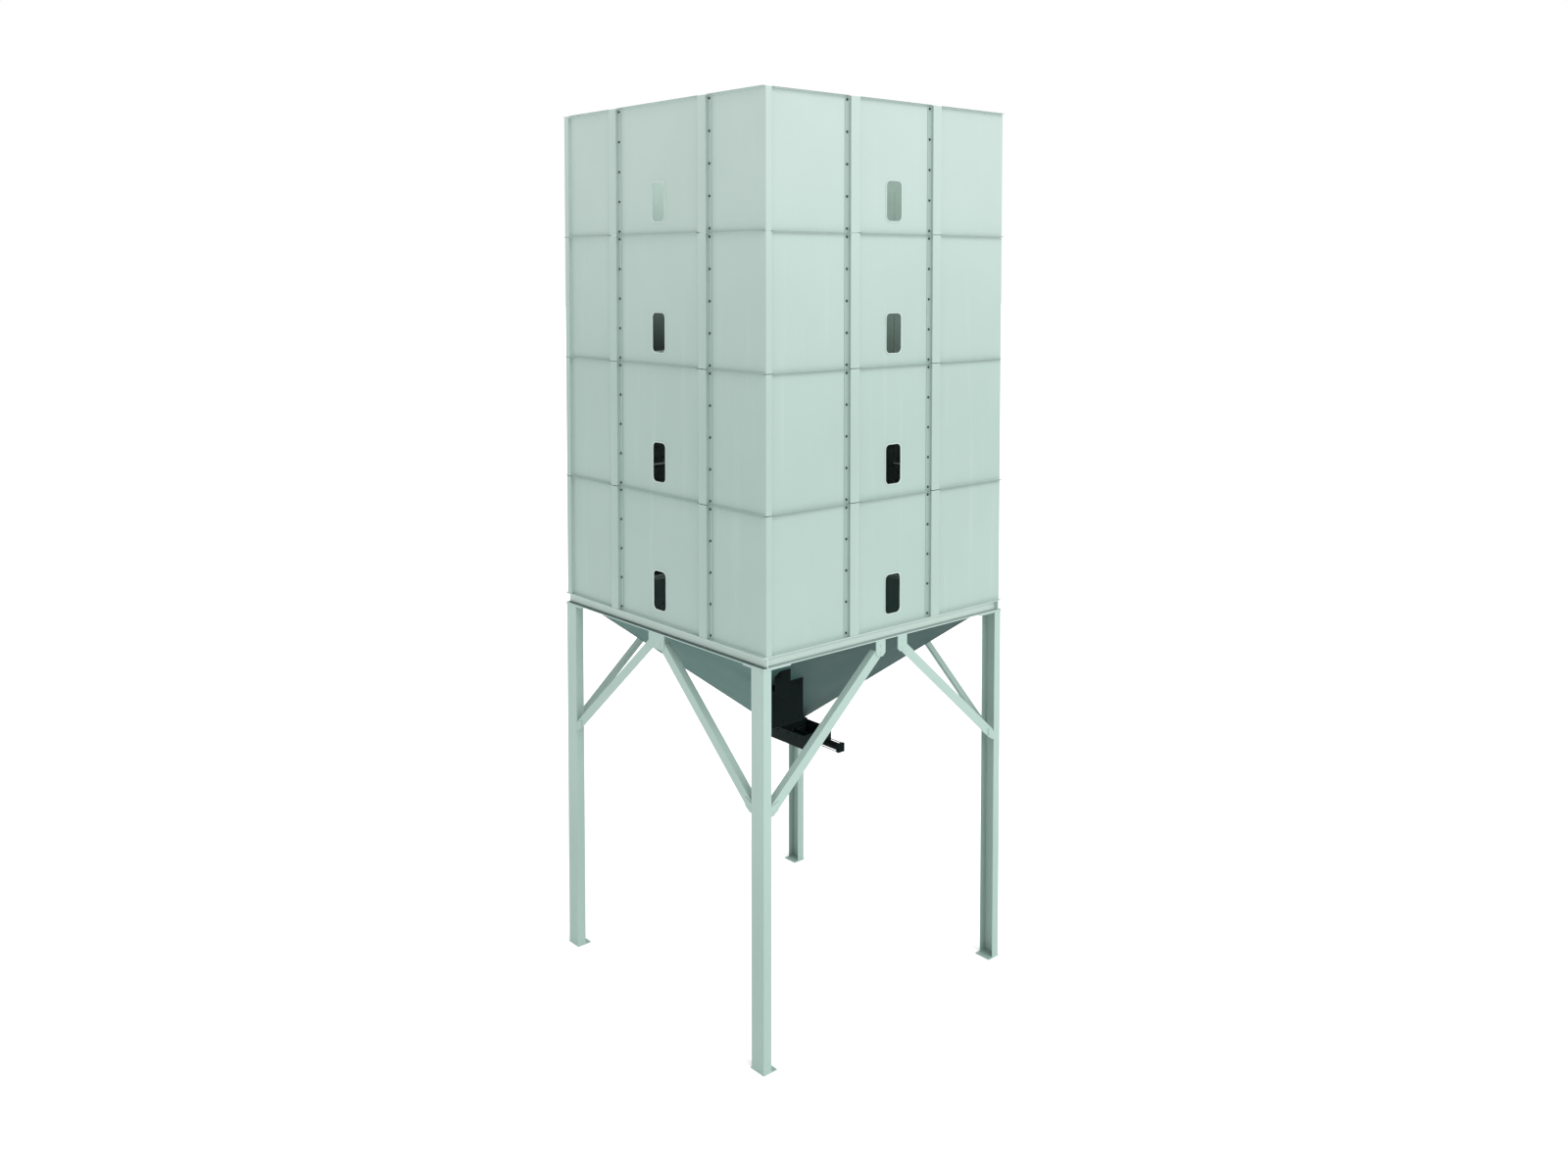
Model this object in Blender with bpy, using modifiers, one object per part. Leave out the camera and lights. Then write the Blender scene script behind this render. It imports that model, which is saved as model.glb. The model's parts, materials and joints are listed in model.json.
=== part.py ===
"""Square steel silo: four tiers of bolted sheet panels on a ring beam, four legs and a pyramid hopper.

Units are metres, +Z is up, and the origin is on the floor under the middle of the silo. The front wall
faces -Y. Around the silo, wall 0 is the front, 1 the right (+X), 2 the back and 3 the left.
"""
import math

import bmesh
import bpy
from mathutils import Matrix, Vector

# Overall sizes
HALF = 1.5               # half the side of the silo, to the tips of its flanges
TIERS = 4
TIER = 1.16              # height of one tier of panels
RING_BOTTOM = 3.41       # underside of the ring beam, on top of the legs
RING_HEIGHT = 0.10
BODY_BOTTOM = RING_BOTTOM + RING_HEIGHT
GAP = 0.0003             # left between pieces that touch

# Wall panels: 3 mm sheet, set back from the flange tips, with a raised bead beside each bolted joint
SHEET = 0.003
RECESS = 0.03
BEAD = 0.11              # width of a bead's outer face
FOOT = 0.05              # lap of a bead's foot over the next panel
CORNER_STRIP = 0.065     # raised strip at the left end of each wall
FRONT_BEADS = (-0.595, 0.745)    # the edge of each bead that has the foot, along the front wall
RIGHT_BEADS = (-0.52, 0.505)     # the same along the right wall
WINDOW_WIDTH = 0.19
WINDOW_HEIGHT = 0.355
WINDOW_SILL = 0.11       # above the bottom of its tier
WINDOW_MIDDLE = 0.03     # right of the middle of its wall, seen from outside
WINDOW_ROUNDING = 0.035
GLASS = 0.004
GLASS_LAP = 0.02

# Ring beam: channels open outwards
RING_FLANGE = 0.05
RING_WEB = 0.008

# Legs: channels with their webs in the planes of the front and back walls
LEG_WIDTH = 0.16
LEG_DEPTH = 0.085
LEG_WALL = 0.006
LEG_FACE = HALF - 0.005
FOOT_PLATE = (0.17, 0.145, 0.010)
CAP_ARMS = (0.27, 0.30)  # lengths under the front or back beam and under the side beam
CAP_WIDTH = 0.115
CAP_THICK = 0.012

# Knee braces: angles with one side outwards and the other inwards along the top
BRACE_WIDTH = 0.09
BRACE_DEPTH = 0.07
BRACE_WALL = 0.005
BRACE_FACE = HALF - 0.012
BRACE_AXES = (3.378, 3.436)      # where a front or side brace's axis would meet the middle of its wall
BRACE_SLOPE = 0.88       # fall over run
BRACE_STOP = 0.032       # lower end of the axis, from the leg's edge
BRACE_IN = 0.165         # upper end of the axis of a right or left brace, from the middle of the wall
PAIR_IN = 0.075          # the same for a front or back brace
PLATE_TIP = LEG_FACE
LOW_PLATE = (            # outline from the leg's edge and from where the brace's axis would meet it
    (0.004, -0.028), (-0.022, -0.028), (-0.08, 0.012), (-0.08, 0.085), (0.004, 0.05),
)
HIGH_PLATE = 0.145       # height of the plates under the ring beam
HIGH_PLATE_CUT = 0.03    # cut off their lower corners
PAIR_PLATE = 0.235       # width of the one plate that a front or back pair shares
SINGLE_PLATE = (0.08, 0.195)     # from and to, across the wall, of a right or left brace's plate

# Hopper: four plates that meet the ring beam's web and stand on the outlet flange
HOPPER_SHEET = 0.004
HOPPER_SLOPE = 0.9       # rise over run
OUTLET = 0.15            # half the side of the outlet
FLANGE = 0.18            # half the side of the outlet flange
FLANGE_THICK = 0.010

# Slide gate under the outlet, with its cylinder towards +X
GATE_TOP = 2.30
GATE_HEIGHT = 0.13
GATE_WALL = 0.015
GATE_START = -0.20
GATE_END = 0.52
GATE_HALF_WIDTH = 0.18
BLADE_THICK = 0.008
BLADE_GAP = 0.001
BLADE_END = 0.19
POCKET_START = 0.182
ROD_RADIUS = 0.010
ROD_HOLE = 0.0105
CYLINDER_RADIUS = 0.0375
CYLINDER_LENGTH = 0.33
CYLINDER_FLANGE = (0.012, 0.10, 0.10)

# Black box under the hopper's right plate: upright front and back, open towards the plate
BOX_BACK = 0.83
BOX_FRONT = 0.99
BOX_BOTTOM = 2.67
BOX_SIDES = (-1.06, -0.604)
BOX_NECK = (-1.05, -0.94)        # the narrow part that goes on and up to the plate
NECK_BACK = 1.12
NECK_FRONT = 1.20
NECK_BOTTOM = 3.02
NECK_THICK = 0.03
BOX_SHEET = 0.003
BOX_CLEAR = 0.13         # how far its hollow is cut on past the plate

WALLS = ("front", "right", "back", "left")
CORNERS = ("front_right", "back_right", "back_left", "front_left")
COLOURS = {
    "panel": ((0.52, 0.62, 0.57), 0.45, 0.0),
    "frame": ((0.48, 0.58, 0.54), 0.45, 0.0),
    "hopper": ((0.12, 0.18, 0.165), 0.55, 0.0),
    "black": ((0.012, 0.016, 0.016), 0.5, 0.0),
    "steel": ((0.45, 0.46, 0.46), 0.3, 1.0),
    "glass": ((0.75, 0.82, 0.80), 0.05, 0.0),
}


def clear_scene():
    """Removes every object that the scene starts with."""
    for item in list(bpy.data.objects):
        bpy.data.objects.remove(item, do_unlink=True)


def new_collection(name):
    """Makes a collection in the scene."""
    group = bpy.data.collections.new(name)
    bpy.context.scene.collection.children.link(group)
    return group


def make_material(name):
    """Makes the plain paint or metal of one kind of piece."""
    colour, roughness, metallic = COLOURS[name]
    material = bpy.data.materials.new(name)
    material.use_nodes = True
    shader = material.node_tree.nodes["Principled BSDF"]
    shader.inputs["Base Color"].default_value = (*colour, 1.0)
    shader.inputs["Roughness"].default_value = roughness
    shader.inputs["Metallic"].default_value = metallic
    material.diffuse_color = (*colour, 1.0)
    return material


def turned(wall):
    """The rotation that takes the front wall to another one."""
    return Matrix.Rotation(wall * math.pi / 2, 4, "Z")


def add_object(name, mesh, material):
    """Puts a mesh in the silo's collection as one named piece."""
    item = bpy.data.objects.new(name, mesh)
    item.data.materials.append(material)
    SILO.objects.link(item)
    return item


def add_cutter(name, mesh):
    """Puts a mesh among the hidden ones that are cut from or joined to the pieces."""
    item = bpy.data.objects.new(name, mesh)
    item.hide_render = True
    item.display_type = "WIRE"
    CUTTERS.objects.link(item)
    return item


def combine(item, other, operation):
    """Joins a hidden solid to a piece, or cuts it from the piece."""
    modifier = item.modifiers.new(f"{operation.lower()}_{other.name}", "BOOLEAN")
    modifier.operation = operation
    modifier.solver = "EXACT"
    modifier.object = other


def box_mesh(name, low, high):
    """A box between two opposite corners."""
    low, high = Vector(low), Vector(high)
    body = bmesh.new()
    size = Matrix.Diagonal((*(high - low), 1.0))
    bmesh.ops.create_cube(body, size=1.0, matrix=Matrix.Translation((low + high) / 2) @ size)
    mesh = bpy.data.meshes.new(name)
    body.to_mesh(mesh)
    body.free()
    return mesh


def outline_mesh(name, points, thickness, matrix):
    """A flat outline in X and Y made as thick as stated about its plane, then placed by the matrix."""
    curve = bpy.data.curves.new(name, "CURVE")
    curve.dimensions = "2D"
    curve.fill_mode = "BOTH"
    curve.extrude = thickness / 2
    spline = curve.splines.new("POLY")
    spline.points.add(len(points) - 1)
    for point, (x, y) in zip(spline.points, points):
        point.co = (x, y, 0.0, 1.0)
    spline.use_cyclic_u = True
    guide = bpy.data.objects.new(name + "_outline", curve)
    bpy.context.scene.collection.objects.link(guide)
    bpy.context.view_layer.update()
    graph = bpy.context.evaluated_depsgraph_get()
    mesh = bpy.data.meshes.new_from_object(guide.evaluated_get(graph))
    bpy.data.objects.remove(guide, do_unlink=True)
    mesh.name = name
    body = bmesh.new()
    body.from_mesh(mesh)
    bmesh.ops.remove_doubles(body, verts=body.verts, dist=0.00001)
    bmesh.ops.transform(body, matrix=matrix, verts=body.verts)
    bmesh.ops.recalc_face_normals(body, faces=body.faces)
    body.to_mesh(mesh)
    body.free()
    return mesh


def channel_outline(width, depth, wall):
    """A channel section: the web lies along X at Y = 0 and the flanges run to Y = depth."""
    side = width / 2
    return (
        (-side, 0.0),
        (side, 0.0),
        (side, depth),
        (side - wall, depth),
        (side - wall, wall),
        (wall - side, wall),
        (wall - side, depth),
        (-side, depth),
    )


# Wall panels

def on_wall(wall, along, back):
    """A plan point on a wall: along it from its middle, and back from the flange tips."""
    point = turned(wall) @ Vector((along, back - HALF, 0.0))
    return (point.x, point.y)


class SheetPath:
    """The plan line of a bent sheet's outer face, and the width of the flanges on each stretch of it."""

    def __init__(self):
        self.points = []
        self.flanges = []

    def add(self, wall, along, back, flanged=False):
        """Goes on to a point. A flanged stretch has flanges out to the tips at its top and bottom."""
        if self.points:
            outward = turned(wall) @ Vector((0.0, -back, 0.0))
            self.flanges.append(outward if flanged else None)
        self.points.append(on_wall(wall, along, back))


def bead_forwards(path, wall, edge):
    """Foot, bead and step back to the sheet, for a wall whose feet point to its left end."""
    path.add(wall, edge, RECESS - SHEET - GAP, flanged=True)
    path.add(wall, edge, 0.0)
    path.add(wall, edge + BEAD, 0.0)
    path.add(wall, edge + BEAD, RECESS)


def bead_backwards(path, wall, edge):
    """Step out, bead and foot, for a wall whose feet point to its right end."""
    path.add(wall, edge - BEAD, RECESS, flanged=True)
    path.add(wall, edge - BEAD, 0.0)
    path.add(wall, edge, 0.0)
    path.add(wall, edge, RECESS - SHEET - GAP)
    path.add(wall, edge + FOOT, RECESS - SHEET - GAP, flanged=True)


def window_path(wall):
    """The middle panel of a wall: a bead at one end, and a plain edge under the next panel's foot."""
    path = SheetPath()
    if wall % 2 == 0:
        left, right = FRONT_BEADS
        path.add(wall, left + GAP, RECESS)
        path.add(wall, left + FOOT + GAP, RECESS)
        bead_backwards(path, wall, right)
    else:
        left, right = RIGHT_BEADS
        path.add(wall, left - FOOT, RECESS - SHEET - GAP)
        bead_forwards(path, wall, left)
        path.add(wall, right - FOOT - GAP, RECESS, flanged=True)
        path.add(wall, right - GAP, RECESS)
    return path


def corner_path(wall):
    """A corner panel: the right end of one wall, the fold, and the left end of the next wall."""
    path = SheetPath()
    after = wall + 1
    if wall % 2 == 0:
        path.add(wall, FRONT_BEADS[1] + GAP, RECESS)
        path.add(wall, FRONT_BEADS[1] + FOOT + GAP, RECESS)
    else:
        path.add(wall, RIGHT_BEADS[1] - FOOT, RECESS - SHEET - GAP)
        bead_forwards(path, wall, RIGHT_BEADS[1])
    path.add(wall, HALF, RECESS, flanged=True)
    path.add(after, RECESS - HALF + CORNER_STRIP, 0.0)
    path.add(after, RECESS - HALF + CORNER_STRIP, RECESS)
    if wall % 2 == 0:
        path.add(after, RIGHT_BEADS[0] - FOOT - GAP, RECESS, flanged=True)
        path.add(after, RIGHT_BEADS[0] - GAP, RECESS)
    else:
        bead_backwards(path, after, FRONT_BEADS[0])
    return path


def bent_sheet(name, path, bottom, top, material):
    """Raises a plan line into a sheet, folds its flanges outwards and makes it as thick as the steel."""
    body = bmesh.new()
    low = [body.verts.new((x, y, bottom + SHEET)) for x, y in path.points]
    stretches = [body.edges.new(pair) for pair in zip(low, low[1:])]
    raised = bmesh.ops.extrude_edge_only(body, edges=stretches)["geom"]
    high = [part for part in raised if isinstance(part, bmesh.types.BMVert)]
    bmesh.ops.translate(body, vec=(0.0, 0.0, top - bottom - 2 * SHEET), verts=high)
    faces = [stretch.link_faces[0] for stretch in stretches]
    for face, outward in zip(faces, path.flanges):
        if outward is None:
            continue
        level = [edge for edge in face.edges if abs(edge.verts[0].co.z - edge.verts[1].co.z) < SHEET]
        for edge in level:
            folded = bmesh.ops.extrude_edge_only(body, edges=[edge])["geom"]
            tips = [part for part in folded if isinstance(part, bmesh.types.BMVert)]
            bmesh.ops.translate(body, vec=outward, verts=tips)
    bmesh.ops.remove_doubles(body, verts=body.verts, dist=0.00001)
    bmesh.ops.recalc_face_normals(body, faces=body.faces)
    upright = [face for face in body.faces if abs(face.normal.z) < 0.5]
    widest = max(upright, key=lambda face: face.calc_area())
    if widest.normal.dot(widest.calc_center_median() * Vector((1.0, 1.0, 0.0))) < 0:
        bmesh.ops.reverse_faces(body, faces=body.faces)
    mesh = bpy.data.meshes.new(name)
    body.to_mesh(mesh)
    body.free()
    item = add_object(name, mesh, material)
    thicken(item, SHEET)
    return item


def thicken(item, thickness):
    """Gives an open surface its thickness on the inside."""
    modifier = item.modifiers.new("thickness", "SOLIDIFY")
    modifier.thickness = thickness
    modifier.offset = -1.0
    modifier.solidify_mode = "NON_MANIFOLD"
    modifier.nonmanifold_thickness_mode = "CONSTRAINTS"
    modifier.nonmanifold_merge_threshold = 0.00001


def window_cutter(wall, bottom):
    """The rounded upright block that a window leaves out of its panel."""
    body = bmesh.new()
    size = Matrix.Diagonal((WINDOW_WIDTH, 3 * RECESS, WINDOW_HEIGHT, 1.0))
    middle = Vector((WINDOW_MIDDLE, RECESS - HALF, bottom + WINDOW_SILL + WINDOW_HEIGHT / 2))
    bmesh.ops.create_cube(body, size=1.0, matrix=Matrix.Translation(middle) @ size)
    through = [edge for edge in body.edges if abs(edge.verts[0].co.y - edge.verts[1].co.y) > RECESS]
    bmesh.ops.bevel(
        body, geom=through, offset=WINDOW_ROUNDING, offset_type="OFFSET", segments=4, profile=0.5,
        affect="EDGES", material=-1,
    )
    bmesh.ops.transform(body, matrix=turned(wall), verts=body.verts)
    mesh = bpy.data.meshes.new("window_block")
    body.to_mesh(mesh)
    body.free()
    return mesh


def build_tiers():
    """Four tiers of four corner panels and four window panels each."""
    for tier in range(TIERS):
        bottom = BODY_BOTTOM + tier * TIER + GAP
        top = BODY_BOTTOM + (tier + 1) * TIER
        label = f"tier{tier + 1}"
        for wall in range(4):
            bent_sheet(f"{label}_{CORNERS[wall]}_corner", corner_path(wall), bottom, top, PAINT["panel"])
            middle = bent_sheet(f"{label}_{WALLS[wall]}_panel", window_path(wall), bottom, top, PAINT["panel"])
            block = add_cutter(f"{label}_{WALLS[wall]}_window", window_cutter(wall, bottom))
            combine(middle, block, "DIFFERENCE")


def build_glass():
    """One strip of glass inside each wall closes its four windows."""
    inner = HALF - RECESS - SHEET - GAP
    side = WINDOW_WIDTH / 2 + GLASS_LAP
    low = BODY_BOTTOM + WINDOW_SILL - GLASS_LAP
    high = BODY_BOTTOM + (TIERS - 1) * TIER + WINDOW_SILL + WINDOW_HEIGHT + GLASS_LAP
    for wall in range(4):
        mesh = box_mesh(
            f"{WALLS[wall]}_glass",
            (WINDOW_MIDDLE - side, -inner, low),
            (WINDOW_MIDDLE + side, GLASS - inner, high),
        )
        mesh.transform(turned(wall))
        add_object(f"{WALLS[wall]}_glass", mesh, PAINT["glass"])


# Frame

def build_ring():
    """Front and back channels run the whole side, and the right and left ones fit between their webs."""
    outline = channel_outline(RING_HEIGHT, RING_FLANGE, RING_WEB)
    middle = RING_BOTTOM + RING_HEIGHT / 2
    inner = HALF - RING_FLANGE
    for wall in range(4):
        length = 2 * HALF if wall % 2 == 0 else 2 * (inner - GAP)
        upright = Matrix((
            (0.0, 0.0, 1.0, 0.0),
            (0.0, -1.0, 0.0, -inner),
            (1.0, 0.0, 0.0, middle),
            (0.0, 0.0, 0.0, 1.0),
        ))
        name = f"{WALLS[wall]}_ring_beam"
        add_object(name, outline_mesh(name, outline, length, turned(wall) @ upright), PAINT["frame"])


def angle_outline(width, depth, wall, side):
    """An angle section: one side lies along X at Y = 0, and the other stands on its end at +X or -X."""
    half = width / 2
    points = (
        (-half, 0.0),
        (half, 0.0),
        (half, depth),
        (half - wall, depth),
        (half - wall, wall),
        (-half, wall),
    )
    return [(x * side, y) for x, y in points]


def brace_height(wall, along):
    """The height of a brace's axis at a distance from the middle of its wall."""
    return BRACE_AXES[wall % 2] - along * BRACE_SLOPE


def low_plate_points(wall, leg_side):
    """The plate that carries a brace's lower end, beside a leg whose side is this wide along the wall."""
    edge = LEG_FACE - leg_side
    return [(edge + along, brace_height(wall, edge) + up) for along, up in LOW_PLATE]


def upright_plate(name, points, tip, back, wall, mirrored=False):
    """A plate parallel to a wall, between two distances from the silo's middle, from along and height."""
    middle = (tip + back) / 2
    sign = -1.0 if mirrored else 1.0
    stand = Matrix((
        (sign, 0.0, 0.0, 0.0),
        (0.0, 0.0, 1.0, -middle),
        (0.0, 1.0, 0.0, 0.0),
        (0.0, 0.0, 0.0, 1.0),
    ))
    return outline_mesh(name, points, tip - back, turned(wall) @ stand)


def build_leg(name, side_x, side_y):
    """A leg with its foot plate, cap plate and the two plates for the braces, welded together."""
    outline = channel_outline(LEG_WIDTH, LEG_DEPTH, LEG_WALL)
    low, high = FOOT_PLATE[2] / 2, RING_BOTTOM - CAP_THICK / 2
    place = Matrix.Translation((LEG_FACE - LEG_WIDTH / 2, -LEG_FACE, (low + high) / 2))
    mesh = outline_mesh(name, outline, high - low, place)
    foot = box_mesh(
        f"{name}_foot",
        (HALF - FOOT_PLATE[0], -HALF, 0.0),
        (HALF, FOOT_PLATE[1] - HALF, FOOT_PLATE[2]),
    )
    cap_points = (
        (HALF, -HALF),
        (HALF, CAP_ARMS[1] - HALF),
        (HALF - CAP_WIDTH, CAP_ARMS[1] - HALF),
        (HALF - CAP_WIDTH, CAP_WIDTH - HALF),
        (HALF - CAP_ARMS[0], CAP_WIDTH - HALF),
        (HALF - CAP_ARMS[0], -HALF),
    )
    under_beam = Matrix.Translation((0.0, 0.0, RING_BOTTOM - GAP - CAP_THICK / 2))
    cap = outline_mesh(f"{name}_cap", cap_points, CAP_THICK, under_beam)
    back = BRACE_FACE + GAP
    front_points = low_plate_points(0, LEG_WIDTH)
    side_points = low_plate_points(1, LEG_DEPTH)
    front_plate = upright_plate(f"{name}_front_plate", front_points, PLATE_TIP, back, 0)
    side_plate = upright_plate(f"{name}_side_plate", side_points, PLATE_TIP, back, 1, mirrored=True)
    flip = Matrix.Diagonal((side_x, -side_y, 1.0, 1.0))
    for part in (mesh, foot, cap, front_plate, side_plate):
        part.transform(flip)
        if side_x == side_y:
            part.flip_normals()
    item = add_object(name, mesh, PAINT["frame"])
    for part in (foot, cap, front_plate, side_plate):
        combine(item, add_cutter(part.name, part), "UNION")


def brace_mesh(name, wall, side):
    """An angle from beside a leg up to the ring beam."""
    inner, leg_side = (PAIR_IN, LEG_WIDTH) if wall % 2 == 0 else (BRACE_IN, LEG_DEPTH)
    outer = LEG_FACE - leg_side - BRACE_STOP
    start = Vector((side * outer, 0.0, brace_height(wall, outer)))
    end = Vector((side * inner, 0.0, brace_height(wall, inner)))
    run = (end - start).normalized()
    across = Vector((0.0, 1.0, 0.0)).cross(run)
    middle = (start + end) / 2
    place = Matrix((
        (across.x, 0.0, run.x, middle.x),
        (across.y, 1.0, run.y, -BRACE_FACE),
        (across.z, 0.0, run.z, middle.z),
        (0.0, 0.0, 0.0, 1.0),
    ))
    outline = angle_outline(BRACE_WIDTH, BRACE_DEPTH, BRACE_WALL, side)
    return outline_mesh(name, outline, (end - start).length, turned(wall) @ place)


def high_plate_points(low_side, high_side):
    """The plate under the ring beam: a rectangle with its lower corners cut off."""
    top = RING_BOTTOM - GAP
    bottom = top - HIGH_PLATE
    return (
        (low_side, top),
        (low_side, bottom + HIGH_PLATE_CUT),
        (low_side + HIGH_PLATE_CUT, bottom),
        (high_side - HIGH_PLATE_CUT, bottom),
        (high_side, bottom + HIGH_PLATE_CUT),
        (high_side, top),
    )


def build_braces():
    """Front and back pairs share one upper plate, and each right or left brace has its own."""
    back = BRACE_FACE - BRACE_WALL / 2
    for wall in (0, 2):
        name = f"{WALLS[wall]}_brace_pair"
        item = add_object(name, brace_mesh(name, wall, 1.0), PAINT["frame"])
        other = add_cutter(f"{name}_other", brace_mesh(f"{name}_other", wall, -1.0))
        points = high_plate_points(-PAIR_PLATE / 2, PAIR_PLATE / 2)
        plate = add_cutter(f"{name}_plate", upright_plate(f"{name}_plate", points, PLATE_TIP, back, wall))
        combine(item, plate, "UNION")
        combine(item, other, "UNION")
    for wall in (1, 3):
        for side, end in ((-1.0, "left_end"), (1.0, "right_end")):
            name = f"{WALLS[wall]}_brace_{end}"
            item = add_object(name, brace_mesh(name, wall, side), PAINT["frame"])
            points = high_plate_points(*SINGLE_PLATE)
            mesh = upright_plate(f"{name}_plate", points, PLATE_TIP, back, wall, mirrored=side < 0)
            combine(item, add_cutter(f"{name}_plate", mesh), "UNION")


# Hopper, outlet and gate

FLANGE_TOP = GATE_TOP + GAP + FLANGE_THICK
HOPPER_TILT = math.atan(HOPPER_SLOPE)
HOPPER_TOP_HALF = HALF - RING_FLANGE - GAP
HOPPER_LOW_HALF = OUTLET + 0.005
HOPPER_FOOT = FLANGE_TOP + GAP


def hopper_height(half):
    """The height of the hopper's outer face at a distance from its axis."""
    return HOPPER_FOOT + (half - HOPPER_LOW_HALF) * HOPPER_SLOPE


def build_hopper():
    """Four plates whose inner faces meet at the ridges."""
    slant = (HOPPER_TOP_HALF - HOPPER_LOW_HALF) / math.cos(HOPPER_TILT)
    inset = HOPPER_SHEET * math.sin(HOPPER_TILT) + GAP
    points = (
        (HOPPER_LOW_HALF - inset, 0.0),
        (HOPPER_TOP_HALF - inset, slant),
        (inset - HOPPER_TOP_HALF, slant),
        (inset - HOPPER_LOW_HALF, 0.0),
    )
    lean = Matrix.Rotation(math.pi - HOPPER_TILT, 4, "X")
    for wall in range(4):
        name = f"hopper_{WALLS[wall]}_plate"
        foot = Matrix.Translation((0.0, -HOPPER_LOW_HALF, HOPPER_FOOT))
        into = Matrix.Translation((0.0, 0.0, -HOPPER_SHEET / 2))
        mesh = outline_mesh(name, points, HOPPER_SHEET, turned(wall) @ foot @ lean @ into)
        add_object(name, mesh, PAINT["hopper"])


def build_outlet():
    """A square flange ring under the hopper."""
    low = GATE_TOP + GAP
    ring = add_object(
        "outlet_flange",
        box_mesh("outlet_flange", (-FLANGE, -FLANGE, low), (FLANGE, FLANGE, FLANGE_TOP)),
        PAINT["black"],
    )
    hole = box_mesh("outlet_hole", (-OUTLET, -OUTLET, low - 0.02), (OUTLET, OUTLET, FLANGE_TOP + 0.02))
    combine(ring, add_cutter("outlet_hole", hole), "DIFFERENCE")


def rod_mesh(name, radius, start, end, height, vertices=24):
    """A round bar along X."""
    body = bmesh.new()
    place = Matrix.Translation(((start + end) / 2, 0.0, height)) @ Matrix.Rotation(math.pi / 2, 4, "Y")
    bmesh.ops.create_cone(
        body, cap_ends=True, segments=vertices, radius1=radius, radius2=radius, depth=end - start, matrix=place,
    )
    mesh = bpy.data.meshes.new(name)
    body.to_mesh(mesh)
    body.free()
    return mesh


def build_gate():
    """The gate's frame with its open pocket, the closed blade, and the cylinder on the frame's end."""
    bottom = GATE_TOP - GATE_HEIGHT
    middle = GATE_TOP - GATE_HEIGHT / 2
    side = GATE_HALF_WIDTH - GATE_WALL
    slot = BLADE_THICK / 2 + BLADE_GAP
    frame = add_object(
        "gate_frame",
        box_mesh("gate_frame", (GATE_START, -GATE_HALF_WIDTH, bottom), (GATE_END, GATE_HALF_WIDTH, GATE_TOP)),
        PAINT["black"],
    )
    cuts = {
        "gate_throat": box_mesh(
            "gate_throat", (-OUTLET, -OUTLET, bottom - 0.02), (OUTLET, OUTLET, GATE_TOP + 0.02),
        ),
        "gate_pocket": box_mesh(
            "gate_pocket", (POCKET_START, -side, bottom + GATE_WALL), (GATE_END - GATE_WALL, side, GATE_TOP + 0.02),
        ),
        "gate_slot": box_mesh(
            "gate_slot", (-side, -side, middle - slot), (POCKET_START + 0.01, side, middle + slot),
        ),
        "gate_rod_hole": rod_mesh("gate_rod_hole", ROD_HOLE, GATE_END - 0.03, GATE_END + 0.02, middle),
    }
    for name, mesh in cuts.items():
        combine(frame, add_cutter(name, mesh), "DIFFERENCE")
    blade = box_mesh(
        "gate_blade",
        (BLADE_GAP - side, BLADE_GAP - side, middle - slot + GAP),
        (BLADE_END, side - BLADE_GAP, middle + BLADE_THICK / 2 - BLADE_GAP + GAP),
    )
    add_object("gate_blade", blade, PAINT["steel"])
    start = GATE_END + GAP
    barrel = rod_mesh("gate_cylinder", CYLINDER_RADIUS, start + 0.004, start + CYLINDER_LENGTH, middle, 40)
    cylinder = add_object("gate_cylinder", barrel, PAINT["black"])
    wide, tall = CYLINDER_FLANGE[1] / 2, CYLINDER_FLANGE[2] / 2
    plate = box_mesh(
        "cylinder_plate", (start, -wide, middle - tall), (start + CYLINDER_FLANGE[0], wide, middle + tall),
    )
    rod = rod_mesh("cylinder_rod", ROD_RADIUS, BLADE_END + GAP, start + 0.02, middle)
    combine(cylinder, add_cutter("cylinder_plate", plate), "UNION")
    combine(cylinder, add_cutter("cylinder_rod", rod), "UNION")


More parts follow.
